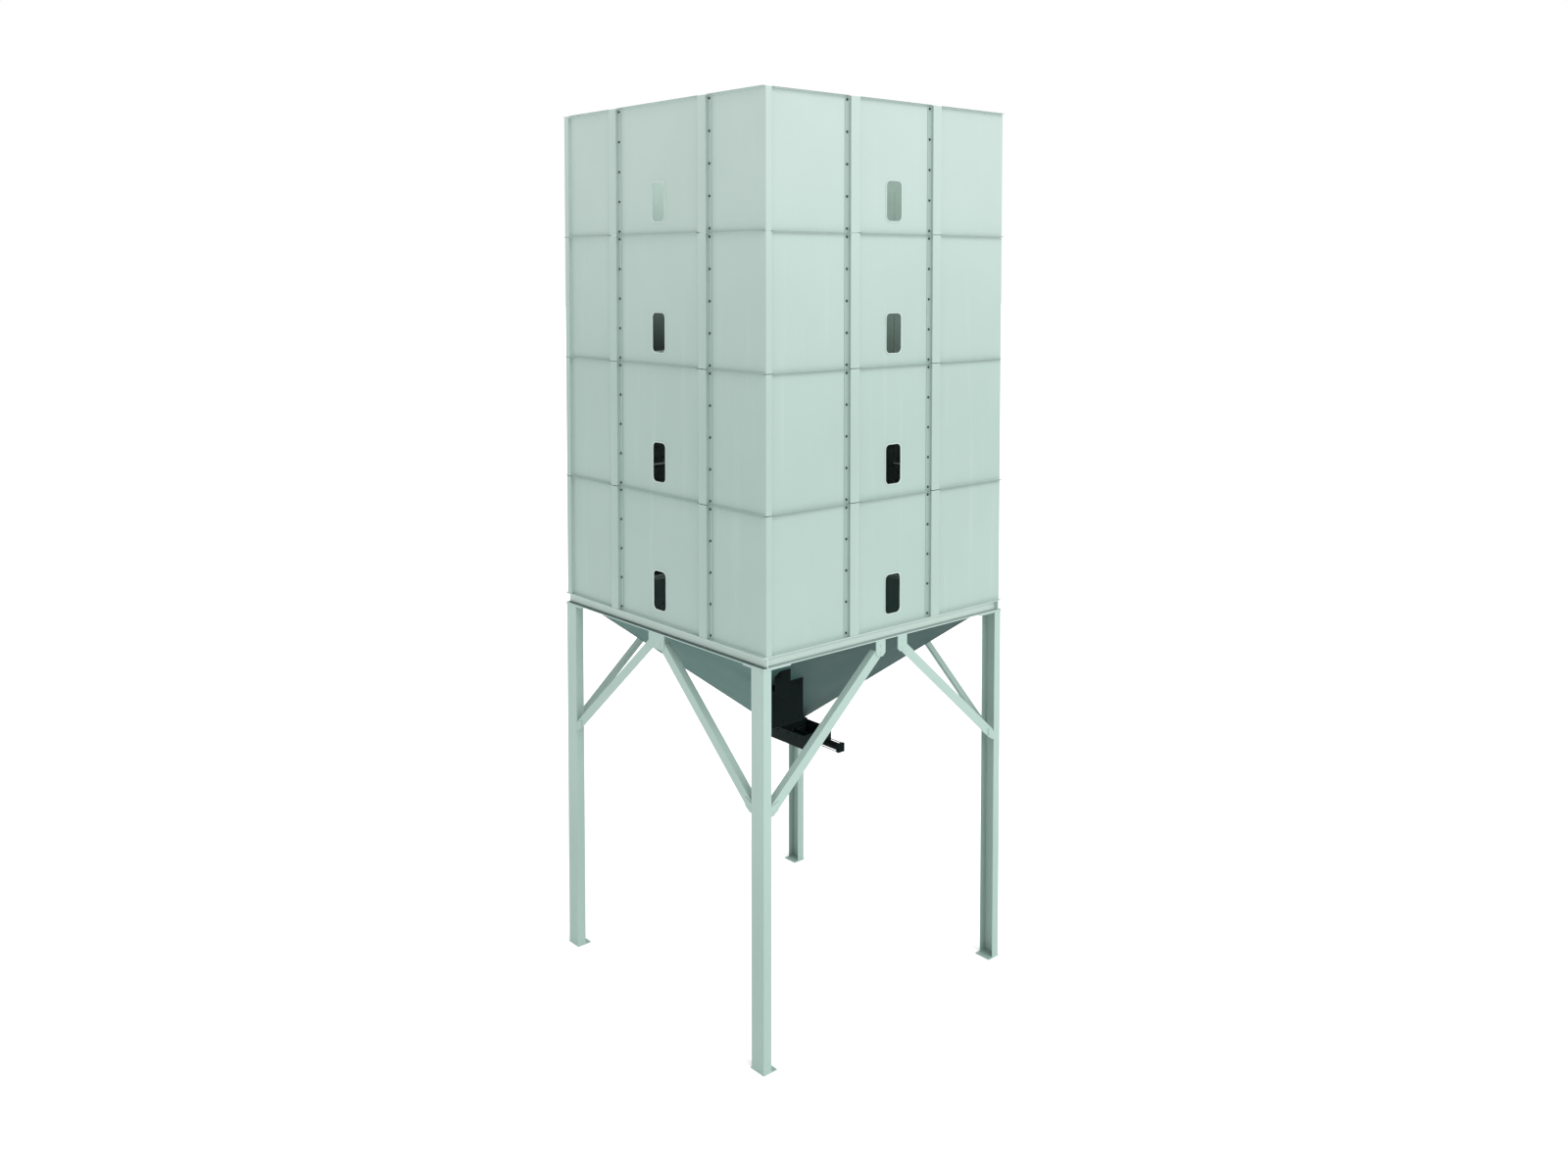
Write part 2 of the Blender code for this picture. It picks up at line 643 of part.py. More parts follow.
def build_side_box():
    """A folded black housing on the hopper's right plate, open towards the plate."""
    lift = GAP / math.cos(HOPPER_TILT)
    top = hopper_height(BOX_FRONT) - lift
    low_y, high_y = BOX_SIDES
    points = (
        (BOX_BACK, BOX_BOTTOM),
        (BOX_FRONT, BOX_BOTTOM),
        (BOX_FRONT, top),
        (BOX_BACK, hopper_height(BOX_BACK) - lift),
    )
    stand = Matrix((
        (1.0, 0.0, 0.0, 0.0),
        (0.0, 0.0, -1.0, (low_y + high_y) / 2),
        (0.0, 1.0, 0.0, 0.0),
        (0.0, 0.0, 0.0, 1.0),
    ))
    mesh = outline_mesh("hopper_side_box", points, high_y - low_y, stand)
    item = add_object("hopper_side_box", mesh, PAINT["black"])
    neck = (
        (BOX_FRONT - BOX_SHEET, NECK_BOTTOM),
        (NECK_FRONT, NECK_BOTTOM),
        (NECK_FRONT, hopper_height(NECK_FRONT) - lift),
        (NECK_BACK, hopper_height(NECK_BACK) - lift),
        (NECK_BACK, NECK_BOTTOM + NECK_THICK),
        (BOX_FRONT - BOX_SHEET, NECK_BOTTOM + NECK_THICK),
    )
    neck_stand = stand.copy()
    neck_stand[1][3] = (BOX_NECK[0] + BOX_NECK[1]) / 2
    neck_mesh = outline_mesh("side_box_neck", neck, BOX_NECK[1] - BOX_NECK[0], neck_stand)
    hollow = (
        (BOX_BACK + BOX_SHEET, BOX_BOTTOM + BOX_SHEET),
        (BOX_FRONT - BOX_SHEET, BOX_BOTTOM + BOX_SHEET),
        (BOX_FRONT - BOX_SHEET, top + BOX_CLEAR),
        (BOX_BACK + BOX_SHEET, top + BOX_CLEAR),
    )
    depth = high_y - low_y - 2 * BOX_SHEET
    cut = add_cutter("side_box_hollow", outline_mesh("side_box_hollow", hollow, depth, stand))
    combine(item, cut, "DIFFERENCE")
    combine(item, add_cutter("side_box_neck", neck_mesh), "UNION")


clear_scene()
SILO = new_collection("square_steel_silo")
CUTTERS = new_collection("cutters")
PAINT = {name: make_material(name) for name in COLOURS}
build_tiers()
build_glass()
build_ring()
for corner_x, corner_y, corner_name in ((1, -1, "front_right"), (1, 1, "back_right"), (-1, 1, "back_left"),
                                        (-1, -1, "front_left")):
    build_leg(f"{corner_name}_leg", corner_x, corner_y)
build_braces()
build_hopper()
build_outlet()
build_gate()
build_side_box()
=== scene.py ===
# %% [markdown]
# # A square steel silo
# The silo is built from four tiers of folded sheet panels. They stand on a ring beam with four channel
# legs, and a pyramid hopper with a slide gate hangs inside the legs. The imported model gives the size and
# the place of every piece. The cells below dress it: each folded panel is made again with rounded folds,
# and window seals, bolts and welds are added. Steel gets its paint from procedural materials.

# %% Load the frame
import json
import math

import bmesh
import bpy
from mathutils import Matrix, Vector


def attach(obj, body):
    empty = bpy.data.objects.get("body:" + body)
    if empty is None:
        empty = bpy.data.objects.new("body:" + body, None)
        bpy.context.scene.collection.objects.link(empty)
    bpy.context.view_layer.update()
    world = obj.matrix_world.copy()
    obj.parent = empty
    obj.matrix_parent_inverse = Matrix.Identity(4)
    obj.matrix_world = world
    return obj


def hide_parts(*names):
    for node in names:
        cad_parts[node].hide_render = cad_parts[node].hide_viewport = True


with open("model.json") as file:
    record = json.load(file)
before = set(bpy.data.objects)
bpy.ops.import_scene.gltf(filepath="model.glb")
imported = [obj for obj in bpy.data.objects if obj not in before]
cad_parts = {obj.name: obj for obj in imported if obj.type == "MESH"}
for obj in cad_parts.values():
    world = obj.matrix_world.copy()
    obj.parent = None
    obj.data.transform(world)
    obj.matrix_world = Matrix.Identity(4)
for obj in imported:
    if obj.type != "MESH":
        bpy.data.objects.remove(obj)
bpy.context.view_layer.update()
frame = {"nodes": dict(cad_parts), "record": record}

# %% [markdown]
# ## Driving dimensions
# All lengths are in metres. The walls are numbered 0 to 3: front (-Y), right (+X), back and left. A wall
# is drawn as the front one and turned about the silo's upright axis, so one description serves them all.

# %% Driving dimensions
WALLS = ("front", "right", "back", "left")
HALF = 1.5               # half the side, to the tips of the flanges
BODY_BOTTOM = 3.51
TIERS = 4
TIER = 1.16
SHEET = 0.003
RECESS = 0.03            # from the flange tips back to the sheet
FOLD = 0.008             # radius of a fold
CLEAR = 1.5 * FOLD       # from a fold to the end of a flange
BEAD = 0.11              # width of a bead
FOOT = 0.05              # lap of a foot over the next panel
CORNER_STRIP = 0.065     # width of the raised strip beside a corner
BEADS = ((-0.595, 0.745), (-0.52, 0.505))    # their foot edges, on the front and on the right wall
WINDOW = (0.19, 0.355)   # width and height
WINDOW_MIDDLE = 0.03     # from the middle of the wall
WINDOW_SILL = 0.11       # above the tier's joint
WINDOW_HEIGHT = BODY_BOTTOM + WINDOW_SILL + WINDOW[1] / 2    # of its middle, in the lowest tier
WINDOW_ROUNDING = 0.045
GAP = 0.0003             # left between two pieces that touch
SHARP_EDGE = 38          # degrees, over which an edge isn't shaded smooth


def turned(wall):
    """The rotation that takes the front wall to another one."""
    return Matrix.Rotation(wall * math.pi / 2, 4, "Z")


print("a wall is", 2 * HALF, "m wide, and the body is", TIERS * TIER, "m high")

# %% [markdown]
# ## Rounded edges and finished pieces
# No edge of folded or rolled steel is quite sharp, and a small bevel catches the light there. Every piece
# is shaped in a bmesh, with its place in the mesh itself, and ends as an object that hangs on the fixed
# body.

# %% Rounded edges and finished pieces
def round_edges(body, edges, radius, segments):
    """Rounds some edges of a bmesh."""
    bmesh.ops.bevel(
        body, geom=list(edges), offset=radius, offset_type="OFFSET", segments=segments, profile=0.5,
        affect="EDGES", material=-1, clamp_overlap=True,
    )


def in_scene(name, data):
    """Makes an object and puts it in the scene."""
    made = bpy.data.objects.new(name, data)
    bpy.context.scene.collection.objects.link(made)
    return made


def add_piece(name, body, materials, nodes=(), thickness=0.0):
    """Makes one finished piece from a bmesh and hangs it on the fixed body.

    A sheet gets its thickness on the inside, which takes the piece's last material.
    """
    mesh = bpy.data.meshes.new(name)
    body.to_mesh(mesh)
    body.free()
    mesh.shade_smooth()
    mesh.set_sharp_from_angle(angle=math.radians(SHARP_EDGE))
    for material in materials:
        mesh.materials.append(material)
    piece = in_scene(name, mesh)
    if thickness:
        thick = piece.modifiers.new("thickness", "SOLIDIFY")
        thick.thickness = thickness
        thick.offset = -1.0
        thick.use_even_offset = True
        thick.material_offset = len(materials) - 1
    flat = piece.modifiers.new("flat_faces", "WEIGHTED_NORMAL")
    flat.keep_sharp = True
    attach(piece, "root")
    if nodes:
        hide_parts(*nodes)


print("pieces can be added")

# %% [markdown]
# ## Shader arithmetic
# A finish is easier to read as a formula than as a web of nodes. `Value` wraps one socket, and ordinary
# arithmetic on it adds the Math nodes. The nodes could be wired by hand in the editor, but a formula shows
# at a glance what a pattern does.

# %% Shader arithmetic
class Value:
    """A socket that ordinary arithmetic works on."""

    def __init__(self, finish, socket):
        self.finish = finish
        self.socket = socket

    def maths(self, operation, first, second=None):
        """Adds one Math node."""
        sockets = {0: first} if second is None else {0: first, 1: second}
        return self.finish.node("ShaderNodeMath", {"operation": operation}, sockets)

    def __add__(self, other):
        return self.maths("ADD", self, other)

    def __radd__(self, other):
        return self.maths("ADD", other, self)

    def __sub__(self, other):
        return self.maths("SUBTRACT", self, other)

    def __rsub__(self, other):
        return self.maths("SUBTRACT", other, self)

    def __mul__(self, other):
        return self.maths("MULTIPLY", self, other)

    def __rmul__(self, other):
        return self.maths("MULTIPLY", other, self)

    def __truediv__(self, other):
        return self.maths("DIVIDE", self, other)

    def between(self, low, high):
        """0 below one value, 1 above the other, and a smooth step from one to the other."""
        settings = {"interpolation_type": "SMOOTHSTEP", "clamp": True}
        sockets = {"Value": self, "From Min": low, "From Max": high}
        return self.finish.node("ShaderNodeMapRange", settings, sockets)


print("arithmetic on sockets ready")

# %% [markdown]
# ## A material and its nodes
# `Nodes` owns one material, starts it with the object's own coordinates and adds any node by its type. A
# pattern that reads these coordinates stays where it is when the piece moves, so it can be baked.

# %% A material and its nodes
class Nodes:
    """One material and the nodes that make it."""

    def __init__(self, name, roughness=0.5, metallic=0.0):
        self.material = bpy.data.materials.new(name)
        self.material.use_nodes = True
        self.tree = self.material.node_tree
        self.shader = self.tree.nodes["Principled BSDF"]
        self.shader.inputs["Roughness"].default_value = roughness
        self.shader.inputs["Metallic"].default_value = metallic
        self.place = self.node("ShaderNodeTexCoord", output="Object")

    def node(self, kind, settings=None, sockets=None, output=0):
        """Adds a node: its settings come first, then the values or links of its sockets."""
        made = self.tree.nodes.new(kind)
        for name, value in (settings or {}).items():
            setattr(made, name, value)
        for name, value in (sockets or {}).items():
            self.feed(made.inputs[name], value)
        return Value(self, made.outputs[output])

    def feed(self, socket, value):
        """Links a value to a socket, or sets it."""
        if isinstance(value, Value):
            self.tree.links.new(value.socket, socket)
        elif isinstance(value, tuple) and len(value) == 3 and socket.type == "RGBA":
            socket.default_value = (*value, 1.0)
        else:
            socket.default_value = value

    def surface(self, **sockets):
        """Feeds the shader's sockets, written with underscores for spaces."""
        for name, value in sockets.items():
            self.feed(self.shader.inputs[name.replace("_", " ")], value)


print("nodes can be added by their type")

# %% [markdown]
# ## Patterns
# A few patterns come back in many finishes, so they get names: clouds of noise, clouds stretched into
# streaks, the lines at the joints between the tiers, and the painted shading that a mesh carries.

# %% Patterns
class Finish(Nodes):
    """A material with the patterns that the silo's finishes share."""

    def axis(self, name):
        """One coordinate of the object's place."""
        return self.node("ShaderNodeSeparateXYZ", None, {0: self.place}, output=name)

    def stretched(self, x, y, z):
        """The object's place, with each axis scaled."""
        return self.node("ShaderNodeVectorMath", {"operation": "MULTIPLY"}, {0: self.place, 1: (x, y, z)})

    def noise(self, scale, detail=2.0, roughness=0.5, place=None):
        """A cloudy pattern about 0.5."""
        sockets = {"Vector": place or self.place, "Scale": scale, "Detail": detail, "Roughness": roughness}
        return self.node("ShaderNodeTexNoise", None, sockets)

    def blend(self, kind, factor, first, second):
        """Lays one colour over the other in the stated way."""
        settings = {"data_type": "RGBA", "blend_type": kind, "clamp_factor": True}
        return self.node("ShaderNodeMix", settings, {0: factor, 6: first, 7: second}, output=2)

    def mix(self, factor, first, second):
        """Goes from one colour to the other."""
        return self.blend("MIX", factor, first, second)

    def attribute(self, name):
        """A number kept on the mesh."""
        return self.node("ShaderNodeAttribute", {"attribute_name": name}, output="Fac")

    def joint_lines(self, height):
        """1 in a thin band above each joint between two tiers, and 0 elsewhere."""
        tiers_up = (height - BODY_BOTTOM) / TIER
        above = tiers_up.maths("FRACT", tiers_up)
        return 1.0 - above.between(0.012, 0.016)

    def bump(self, height):
        """Bumps the surface by a height in metres."""
        return self.node("ShaderNodeBump", None, {"Height": height, "Distance": 1.0, "Strength": 1.0})


print("finishes can be mixed")

# %% [markdown]
# ## A coat of paint
# The steel has a pale grey-green coat. A coat is never one flat colour: it is a little cloudy and dust runs
# down it in faint streaks. Painted shading is laid on it too: painted shade beside the laps and folds, and
# pale painted bands at the joints inside. The painted shade follows the panel's own folds, so the mesh
# carries it as an attribute, and the rest is read from the object's place.

# %% A coat of paint
def coat(
    name, colour, roughness, dusty, low_colour=None, heights=(5.0, 8.3), cloudy=0.02, painted_shading=None, shine=0.5,
    joints=False,
):
    """A satin coat: clouds, streaks of dust and the fine texture of sprayed paint.

    Its colour changes to the low one between two heights. Painted shading lies where the mesh says, or
    along the joints of the tiers.
    """
    finish = Finish(name, roughness)
    clouds = finish.noise(1.3, 3.0).between(0.35, 0.65)
    height = finish.axis("Z")
    # The low colour is darker: painted shade low down on the panels and inside.
    paint = finish.mix(height.between(*heights), low_colour or colour, colour)
    paint = finish.blend("MULTIPLY", clouds, paint, (1.0 - cloudy,) * 3)
    streaks = finish.noise(9.0, 3.0, 0.6, finish.stretched(1.0, 1.0, 0.06)).between(0.52, 0.78)
    paint = finish.mix(streaks * 0.16, paint, dusty)
    # Painted shading: shade beside the laps and in the ring beam's root, and pale bands at the inside
    # joints.
    if painted_shading:
        shading_mask = finish.joint_lines(height) if joints else finish.attribute("painted_shading")
        broken = finish.noise(14.0, 2.0, 0.6, finish.stretched(1.0, 1.0, 0.25)) * 0.3 + 0.85
        paint = finish.mix(shading_mask * broken, paint, painted_shading)
    grain = finish.noise(420.0, 1.0)
    waves = finish.noise(1.7, 1.0)
    finish.surface(
        Base_Color=paint,
        Roughness=clouds * 0.06 + (roughness - 0.03),
        Specular_IOR_Level=shine,
        Normal=finish.bump(grain * 0.0002 + waves * 0.0015),
    )
    return finish.material


print("a coat is ready to be mixed in any colour")

# %% [markdown]
# ## The paints
# All of the pale paint is one colour on the real silo. Here the panels are mixed a little darker low down,
# as painted shade where less light reaches them, and the frame is a little darker, and darker towards its
# foot. The ring beam's copy is lighter, painted light against the shade of its flanges. The inside is
# painted with the light that falls in: it goes from pale under the open top to black at the bottom, and
# less light falls on the side walls. The hopper and the gate are painted dark, and the hopper's right and
# left plates darker still as painted shade.

# %% The paints
INSIDE_LIGHT = (4.6, 6.9)        # heights between which the inside goes from black to pale
SIDE_LIGHT = (5.6, 7.7)
# The black of the painted shade low down inside.
INSIDE_SHADE = (0.002, 0.006, 0.005)

# Darker low down: painted shade, as less light reaches the lower tiers.
panel_paint = coat(
    "panel_paint", (0.395, 0.488, 0.454), 0.5, (0.43, 0.51, 0.48), low_colour=(0.308, 0.407, 0.373),
    painted_shading=(0.21, 0.29, 0.265), shine=0.35,
)
frame_paint = coat(
    "frame_paint", (0.318, 0.43, 0.393), 0.5, (0.37, 0.46, 0.43), low_colour=(0.278, 0.385, 0.35),
    heights=(0.3, 3.0), shine=0.3,
)
# Lighter than the panel paint: painted light against the shade of the beam's flanges, with a painted shadow
# in its root.
lit_beam_paint = coat(
    "lit_beam_paint", (0.435, 0.535, 0.497), 0.5, (0.47, 0.56, 0.52), painted_shading=(0.07, 0.11, 0.10), shine=0.35,
)
# Painted light from the open top: pale above, black low down, and pale painted bands at the joints.
lit_inside = coat(
    "lit_inside", (0.74, 0.90, 0.83), 0.6, (0.40, 0.48, 0.44), low_colour=INSIDE_SHADE,
    heights=INSIDE_LIGHT, painted_shading=(0.62, 0.74, 0.69), shine=0.02, joints=True,
)
shaded_inside = coat(
    "shaded_inside", (0.68, 0.84, 0.78), 0.6, (0.36, 0.44, 0.40), low_colour=(0.002, 0.007, 0.006),
    heights=SIDE_LIGHT, painted_shading=(0.62, 0.74, 0.69), shine=0.02, joints=True,
)
hopper_paint = coat(
    "hopper_paint", (0.070, 0.142, 0.128), 0.55, (0.09, 0.155, 0.14), cloudy=0.05, shine=0.06,
)
shaded_hopper = coat(
    "shaded_hopper", (0.032, 0.074, 0.067), 0.55, (0.05, 0.09, 0.08), cloudy=0.05, shine=0.06,
)
black_paint = coat(
    "black_paint", (0.0032, 0.0070, 0.0066), 0.5, (0.007, 0.011, 0.011), cloudy=0.15, shine=0.03,
)
gate_paint = coat(
    "gate_paint", (0.0095, 0.0175, 0.0168), 0.5, (0.016, 0.022, 0.021), cloudy=0.3, shine=0.05,
)
print("nine paints, from", panel_paint.name, "to", gate_paint.name)

# %% [markdown]
# ## Glass
# The front and right panes are nearly clear, so the walls inside show through them. Refraction isn't
# needed for a thin pane: a dark colour with a low alpha lets the light straight through. The other two
# walls' panes are dusty on their inner face, and from outside they are painted with the inside's light
# and shade that the clear ones show: near black low down and pale near the top.

# %% Glass
GLASS_IN = 0.0023        # from the sheet's inner face to the middle of a pane
GLASS_MIDDLE = HALF - RECESS - SHEET - GLASS_IN
GLASS_EDGE = 0.0005      # between this far in and this far out, one face's look gives way to the other's


def clear_glass():
    """Clear glass with a faint dark tint. Light goes straight through it."""
    finish = Finish("pane_glass", 0.05)
    finish.surface(Base_Color=(0.006, 0.014, 0.012), Alpha=0.14, Specular_IOR_Level=0.15)
    return finish.material


def dusty_glass():
    """Glass with years of dust on its inner face, lighter where more light falls in from the top."""
    finish = Finish("dusty_glass", 0.35)
    height = finish.axis("Z")
    out_x, out_y = [side.maths("ABSOLUTE", side) for side in (finish.axis("X"), finish.axis("Y"))]
    outwards = out_x.maths("MAXIMUM", out_x, out_y)
    outer_face = outwards.between(GLASS_MIDDLE - GLASS_EDGE, GLASS_MIDDLE + GLASS_EDGE)
    smears = finish.noise(3.0, 2.0).between(0.3, 0.7)
    dust = finish.mix(height.between(*INSIDE_LIGHT), INSIDE_SHADE, (0.72, 0.88, 0.81))
    dust = finish.blend("MULTIPLY", smears * 0.12, dust, (0.5, 0.5, 0.5))
    # The outer face is painted with the lit inside: near black low down and pale near the top.
    outside = finish.mix(height.between(5.5, 7.9), (0.004, 0.009, 0.008), (0.37, 0.46, 0.43))
    finish.surface(Base_Color=finish.mix(outer_face, dust, outside), Alpha=0.97, Specular_IOR_Level=0.1)
    return finish.material


pane_glass = clear_glass()
dust_glass = dusty_glass()
print("glass", pane_glass.name, "and", dust_glass.name)

# %% [markdown]
# ## Rubber, bolts and bare steel
# The seals are pale rubber. The bolts have a dark finish, a little scratched, and the gate's blade is bare
# steel with lines from rolling. Each of these patterns is one noise texture, stretched or cut off, because
# the pieces are small.

# %% Rubber, bolts and bare steel
def seal_rubber():
    """Pale rubber, a little uneven."""
    finish = Finish("seal_rubber", 0.6)
    tone = finish.noise(30.0, 2.0)
    finish.surface(
        Base_Color=finish.mix(tone, (0.42, 0.51, 0.475), (0.48, 0.57, 0.535)),
        Normal=finish.bump(finish.noise(300.0) * 0.0002),
    )
    return finish.material


def bolt_steel():
    """Dark coated steel with small lighter scratches."""
    finish = Finish("bolt_steel", 0.42, 0.6)
    scratches = finish.noise(160.0, 3.0, 0.7).between(0.58, 0.72)
    finish.surface(
        Base_Color=finish.mix(scratches, (0.035, 0.062, 0.055), (0.13, 0.16, 0.15)),
        Roughness=scratches * 0.15 + 0.38,
    )
    return finish.material


def rolled_steel():
    """Bare steel with fine lines along it."""
    finish = Finish("rolled_steel", 0.35, 1.0)
    lines = finish.noise(40.0, 3.0, 0.6, finish.stretched(0.5, 8.0, 8.0))
    finish.surface(
        Base_Color=finish.mix(lines, (0.40, 0.41, 0.41), (0.52, 0.53, 0.53)),
        Roughness=lines * 0.2 + 0.25,
    )
    return finish.material


seal_paint = seal_rubber()
bolt_finish = bolt_steel()
blade_steel = rolled_steel()
print("small pieces", [material.name for material in (seal_paint, bolt_finish, blade_steel)])

# %% [markdown]
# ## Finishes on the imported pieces
# Flat glass, the hopper's plates, the outlet flange and the gate's blade already have their right shape in
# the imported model, so they only change their finish.

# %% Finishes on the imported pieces
NODE_FINISHES = {
    "panel": panel_paint, "frame": frame_paint, "hopper": hopper_paint, "black": black_paint,
    "steel": blade_steel, "glass": pane_glass,
}
OTHER_FINISHES = {
    "back_glass": dust_glass, "left_glass": dust_glass, "hopper_right_plate": shaded_hopper,
    "hopper_left_plate": shaded_hopper,
}
slot_of = {part["node"]: part["material_slot"] for part in frame["record"]["subparts"]}
for name, node in frame["nodes"].items():
    for place in node.material_slots:
        place.material = OTHER_FINISHES.get(name, NODE_FINISHES[slot_of[name]])
print("finishes set on", len(slot_of), "nodes")

# %% [markdown]
# ## The plan line of a panel
# Seen from above, a panel is one line: a foot that laps over the next panel, a raised bead, a step back
# and the flat sheet. A corner panel goes on around the corner. The line is written down as the press
# brake makes it, fold by fold. Points inside a flat stretch bound its flanges and carry the painted shade.

# %% The plan line of a panel
class PlanLine:
    """Points of a bent sheet seen from above, with the painted shade at each and the stretches that have
    flanges.
    """

    def __init__(self):
        self.points = []
        self.painted_shading = []
        self.flanges = []

    def add(self, wall, along, back, painted_shading=0.0, flanged=False):
        """Goes on to a point. A flanged stretch has flanges out to the tips at its top and bottom."""
        if self.points:
            outward = turned(wall) @ Vector((0.0, -back, 0.0))
            self.flanges.append(outward if flanged else None)
        self.points.append(turned(wall) @ Vector((along, back - HALF, 0.0)))
        self.painted_shading.append(painted_shading)

    def flat(self, wall, start, end, back, start_shade, end_shade):
        """A flat stretch between two folds: its flanges stop short of both."""
        self.add(wall, start + CLEAR, back, start_shade)
        self.add(wall, end - CLEAR, back, end_shade, flanged=True)
        self.add(wall, end, back, end_shade)


print("a plan line can be drawn fold by fold")

# %% [markdown]
# ## The ends of a panel
# On the front and back walls the feet point to the right, and on the other two to the left. So each end
# of a panel is one of two kinds: its own bead and foot, or flat sheet under the next panel's foot. Shade is
# painted where a foot laps the next panel.

# %% The ends of a panel
LAP = RECESS - SHEET - GAP       # how far back a foot's outer face lies
UNDER = 0.002                    # from a bead's edge to the hidden end of the next panel
NEAR_SHADE = 0.5                  # painted shade on a front foot at the bead
LAP_SHADE = 0.25                  # and at the foot's edge
FADE = 0.07                      # over which it fades out past the foot
FOOT_SHADE = 0.62                 # painted shade all over a right foot
EDGE_SHADE = 0.1                  # painted shade on a front bead's edge


def start_panel(line, wall, edge):
    """A panel's left end: under a foot on the front wall, with its own foot and bead on the right one."""
    if wall % 2 == 0:
        line.add(wall, edge + UNDER, RECESS, NEAR_SHADE)
        line.add(wall, edge + FOOT, RECESS, LAP_SHADE)
        line.add(wall, edge + FOOT + FADE, RECESS, flanged=True)
    else:
        line.add(wall, edge - FOOT, LAP, FOOT_SHADE)
        line.flat(wall, edge - FOOT, edge, LAP, FOOT_SHADE, FOOT_SHADE)
        line.add(wall, edge, 0.0)
        line.add(wall, edge + BEAD, 0.0)
        line.add(wall, edge + BEAD, RECESS)
        line.add(wall, edge + BEAD + CLEAR, RECESS)


def end_panel(line, wall, edge):
    """A panel's right end: with its own bead and foot on the front wall, under a foot on the right one."""
    if wall % 2 == 0:
        line.add(wall, edge - BEAD - CLEAR, RECESS, flanged=True)
        line.add(wall, edge - BEAD, RECESS)
        line.add(wall, edge - BEAD, 0.0)
        line.add(wall, edge, 0.0, EDGE_SHADE)
        line.add(wall, edge, LAP, NEAR_SHADE)
        line.flat(wall, edge, edge + FOOT, LAP, NEAR_SHADE, LAP_SHADE)
    else:
        line.add(wall, edge - FOOT, RECESS, flanged=True)
        line.add(wall, edge - UNDER, RECESS)


print("a foot's outer face lies", round(LAP, 4), "m behind the flange tips")

# %% [markdown]
# ## Window and corner panels
# Two kinds of panel make up a wall: the middle one with the window, and the one that goes around a corner.
# Their lines could be typed in as points, but written as folds they follow the driving dimensions.

# %% Window and corner panels
def window_line(wall):
    """The middle panel of a wall."""
    line = PlanLine()
    left, right = BEADS[wall % 2]
    start_panel(line, wall, left)
    end_panel(line, wall, right)
    return line


def corner_line(wall):
    """The right end of one wall, the corner fold, the strip and the left end of the next wall."""
    line = PlanLine()
    after = wall + 1
    strip_end = RECESS - HALF + CORNER_STRIP
    start_panel(line, wall, BEADS[wall % 2][1])
    line.add(wall, HALF - CLEAR, RECESS, flanged=True)
    line.add(wall, HALF, RECESS)
    line.add(after, strip_end, 0.0)
    line.add(after, strip_end, RECESS)
    line.add(after, strip_end + CLEAR, RECESS)
    end_panel(line, after, BEADS[after % 2][0])
    return line


for wall in (0, 1):
    print(WALLS[wall], len(window_line(wall).points), "and", len(corner_line(wall).points), "points")

# %% [markdown]
# ## Window openings
# A window is cut in the flat part of its panel. A Boolean would do it, but it leaves long thin faces.
# Here the panel's widest face is inset, the new face takes the window's outline, its corners are rounded
# and it is taken out, so the faces around it stay tidy.

# %% Window openings
def outline_window(body, face, wall, wider):
    """Moves a face's corners to the window's outline, somewhat wider, rounds them, and finds the face."""
    back = turned(-wall)
    flat_middle = back @ face.calc_center_median()
    half_width, half_height = WINDOW[0] / 2 + wider, WINDOW[1] / 2 + wider
    corners = list(face.verts)
    for vertex in corners:
        at = back @ vertex.co
        at.x = WINDOW_MIDDLE + math.copysign(half_width, at.x - flat_middle.x)
        at.z = WINDOW_HEIGHT + math.copysign(half_height, at.z - flat_middle.z)
        vertex.co = turned(wall) @ at
    bmesh.ops.bevel(
        body, geom=corners, offset=WINDOW_ROUNDING + wider, offset_type="OFFSET", segments=6,
        profile=0.5, affect="VERTICES", material=-1,
    )
    centre = turned(wall) @ Vector((WINDOW_MIDDLE, flat_middle.y, WINDOW_HEIGHT))
    return min(body.faces, key=lambda item: (item.calc_center_bounds() - centre).length)


def open_window(body, wall):
    """Insets the widest face down to the window's rectangle, rounds its corners and takes it out."""
    widest = max(body.faces, key=lambda face: face.calc_area())
    # Any inset will do here, because the new corners move on to the outline.
    bmesh.ops.inset_individual(body, faces=[widest], thickness=0.02, use_even_offset=True)
    opening = outline_window(body, widest, wall, 0.0)
    bmesh.ops.delete(body, geom=[opening], context="FACES_ONLY")


print("a window is", WINDOW[0], "by", WINDOW[1], "m")

# %% [markdown]
# ## From a plan line to a sheet
# The line is pulled up into a wall, the flanges are folded out, and all the fold edges are bevelled at
# once, which gives each fold its real radius. A Solidify modifier then adds the steel's thickness on the
# inside.

# %% From a plan line to a sheet
FOLD_EDGE = 10           # degrees between two faces, over which their edge is a fold
FOLD_REACH = 0.7 * FOLD  # how far a fold's rounding reaches


def is_fold(edge):
    """True where two faces meet at an angle."""
    return len(edge.link_faces) == 2 and edge.calc_face_angle() > math.radians(FOLD_EDGE)


def face_outwards(body):
    """Turns an open sheet so that its widest upright face looks away from the silo's middle."""
    upright = [face for face in body.faces if abs(face.normal.z) < 0.5]
    widest = max(upright, key=lambda face: face.calc_area())
    if widest.normal.dot(widest.calc_center_median() * Vector((1.0, 1.0, 0.0))) < 0:
        bmesh.ops.reverse_faces(body, faces=body.faces)


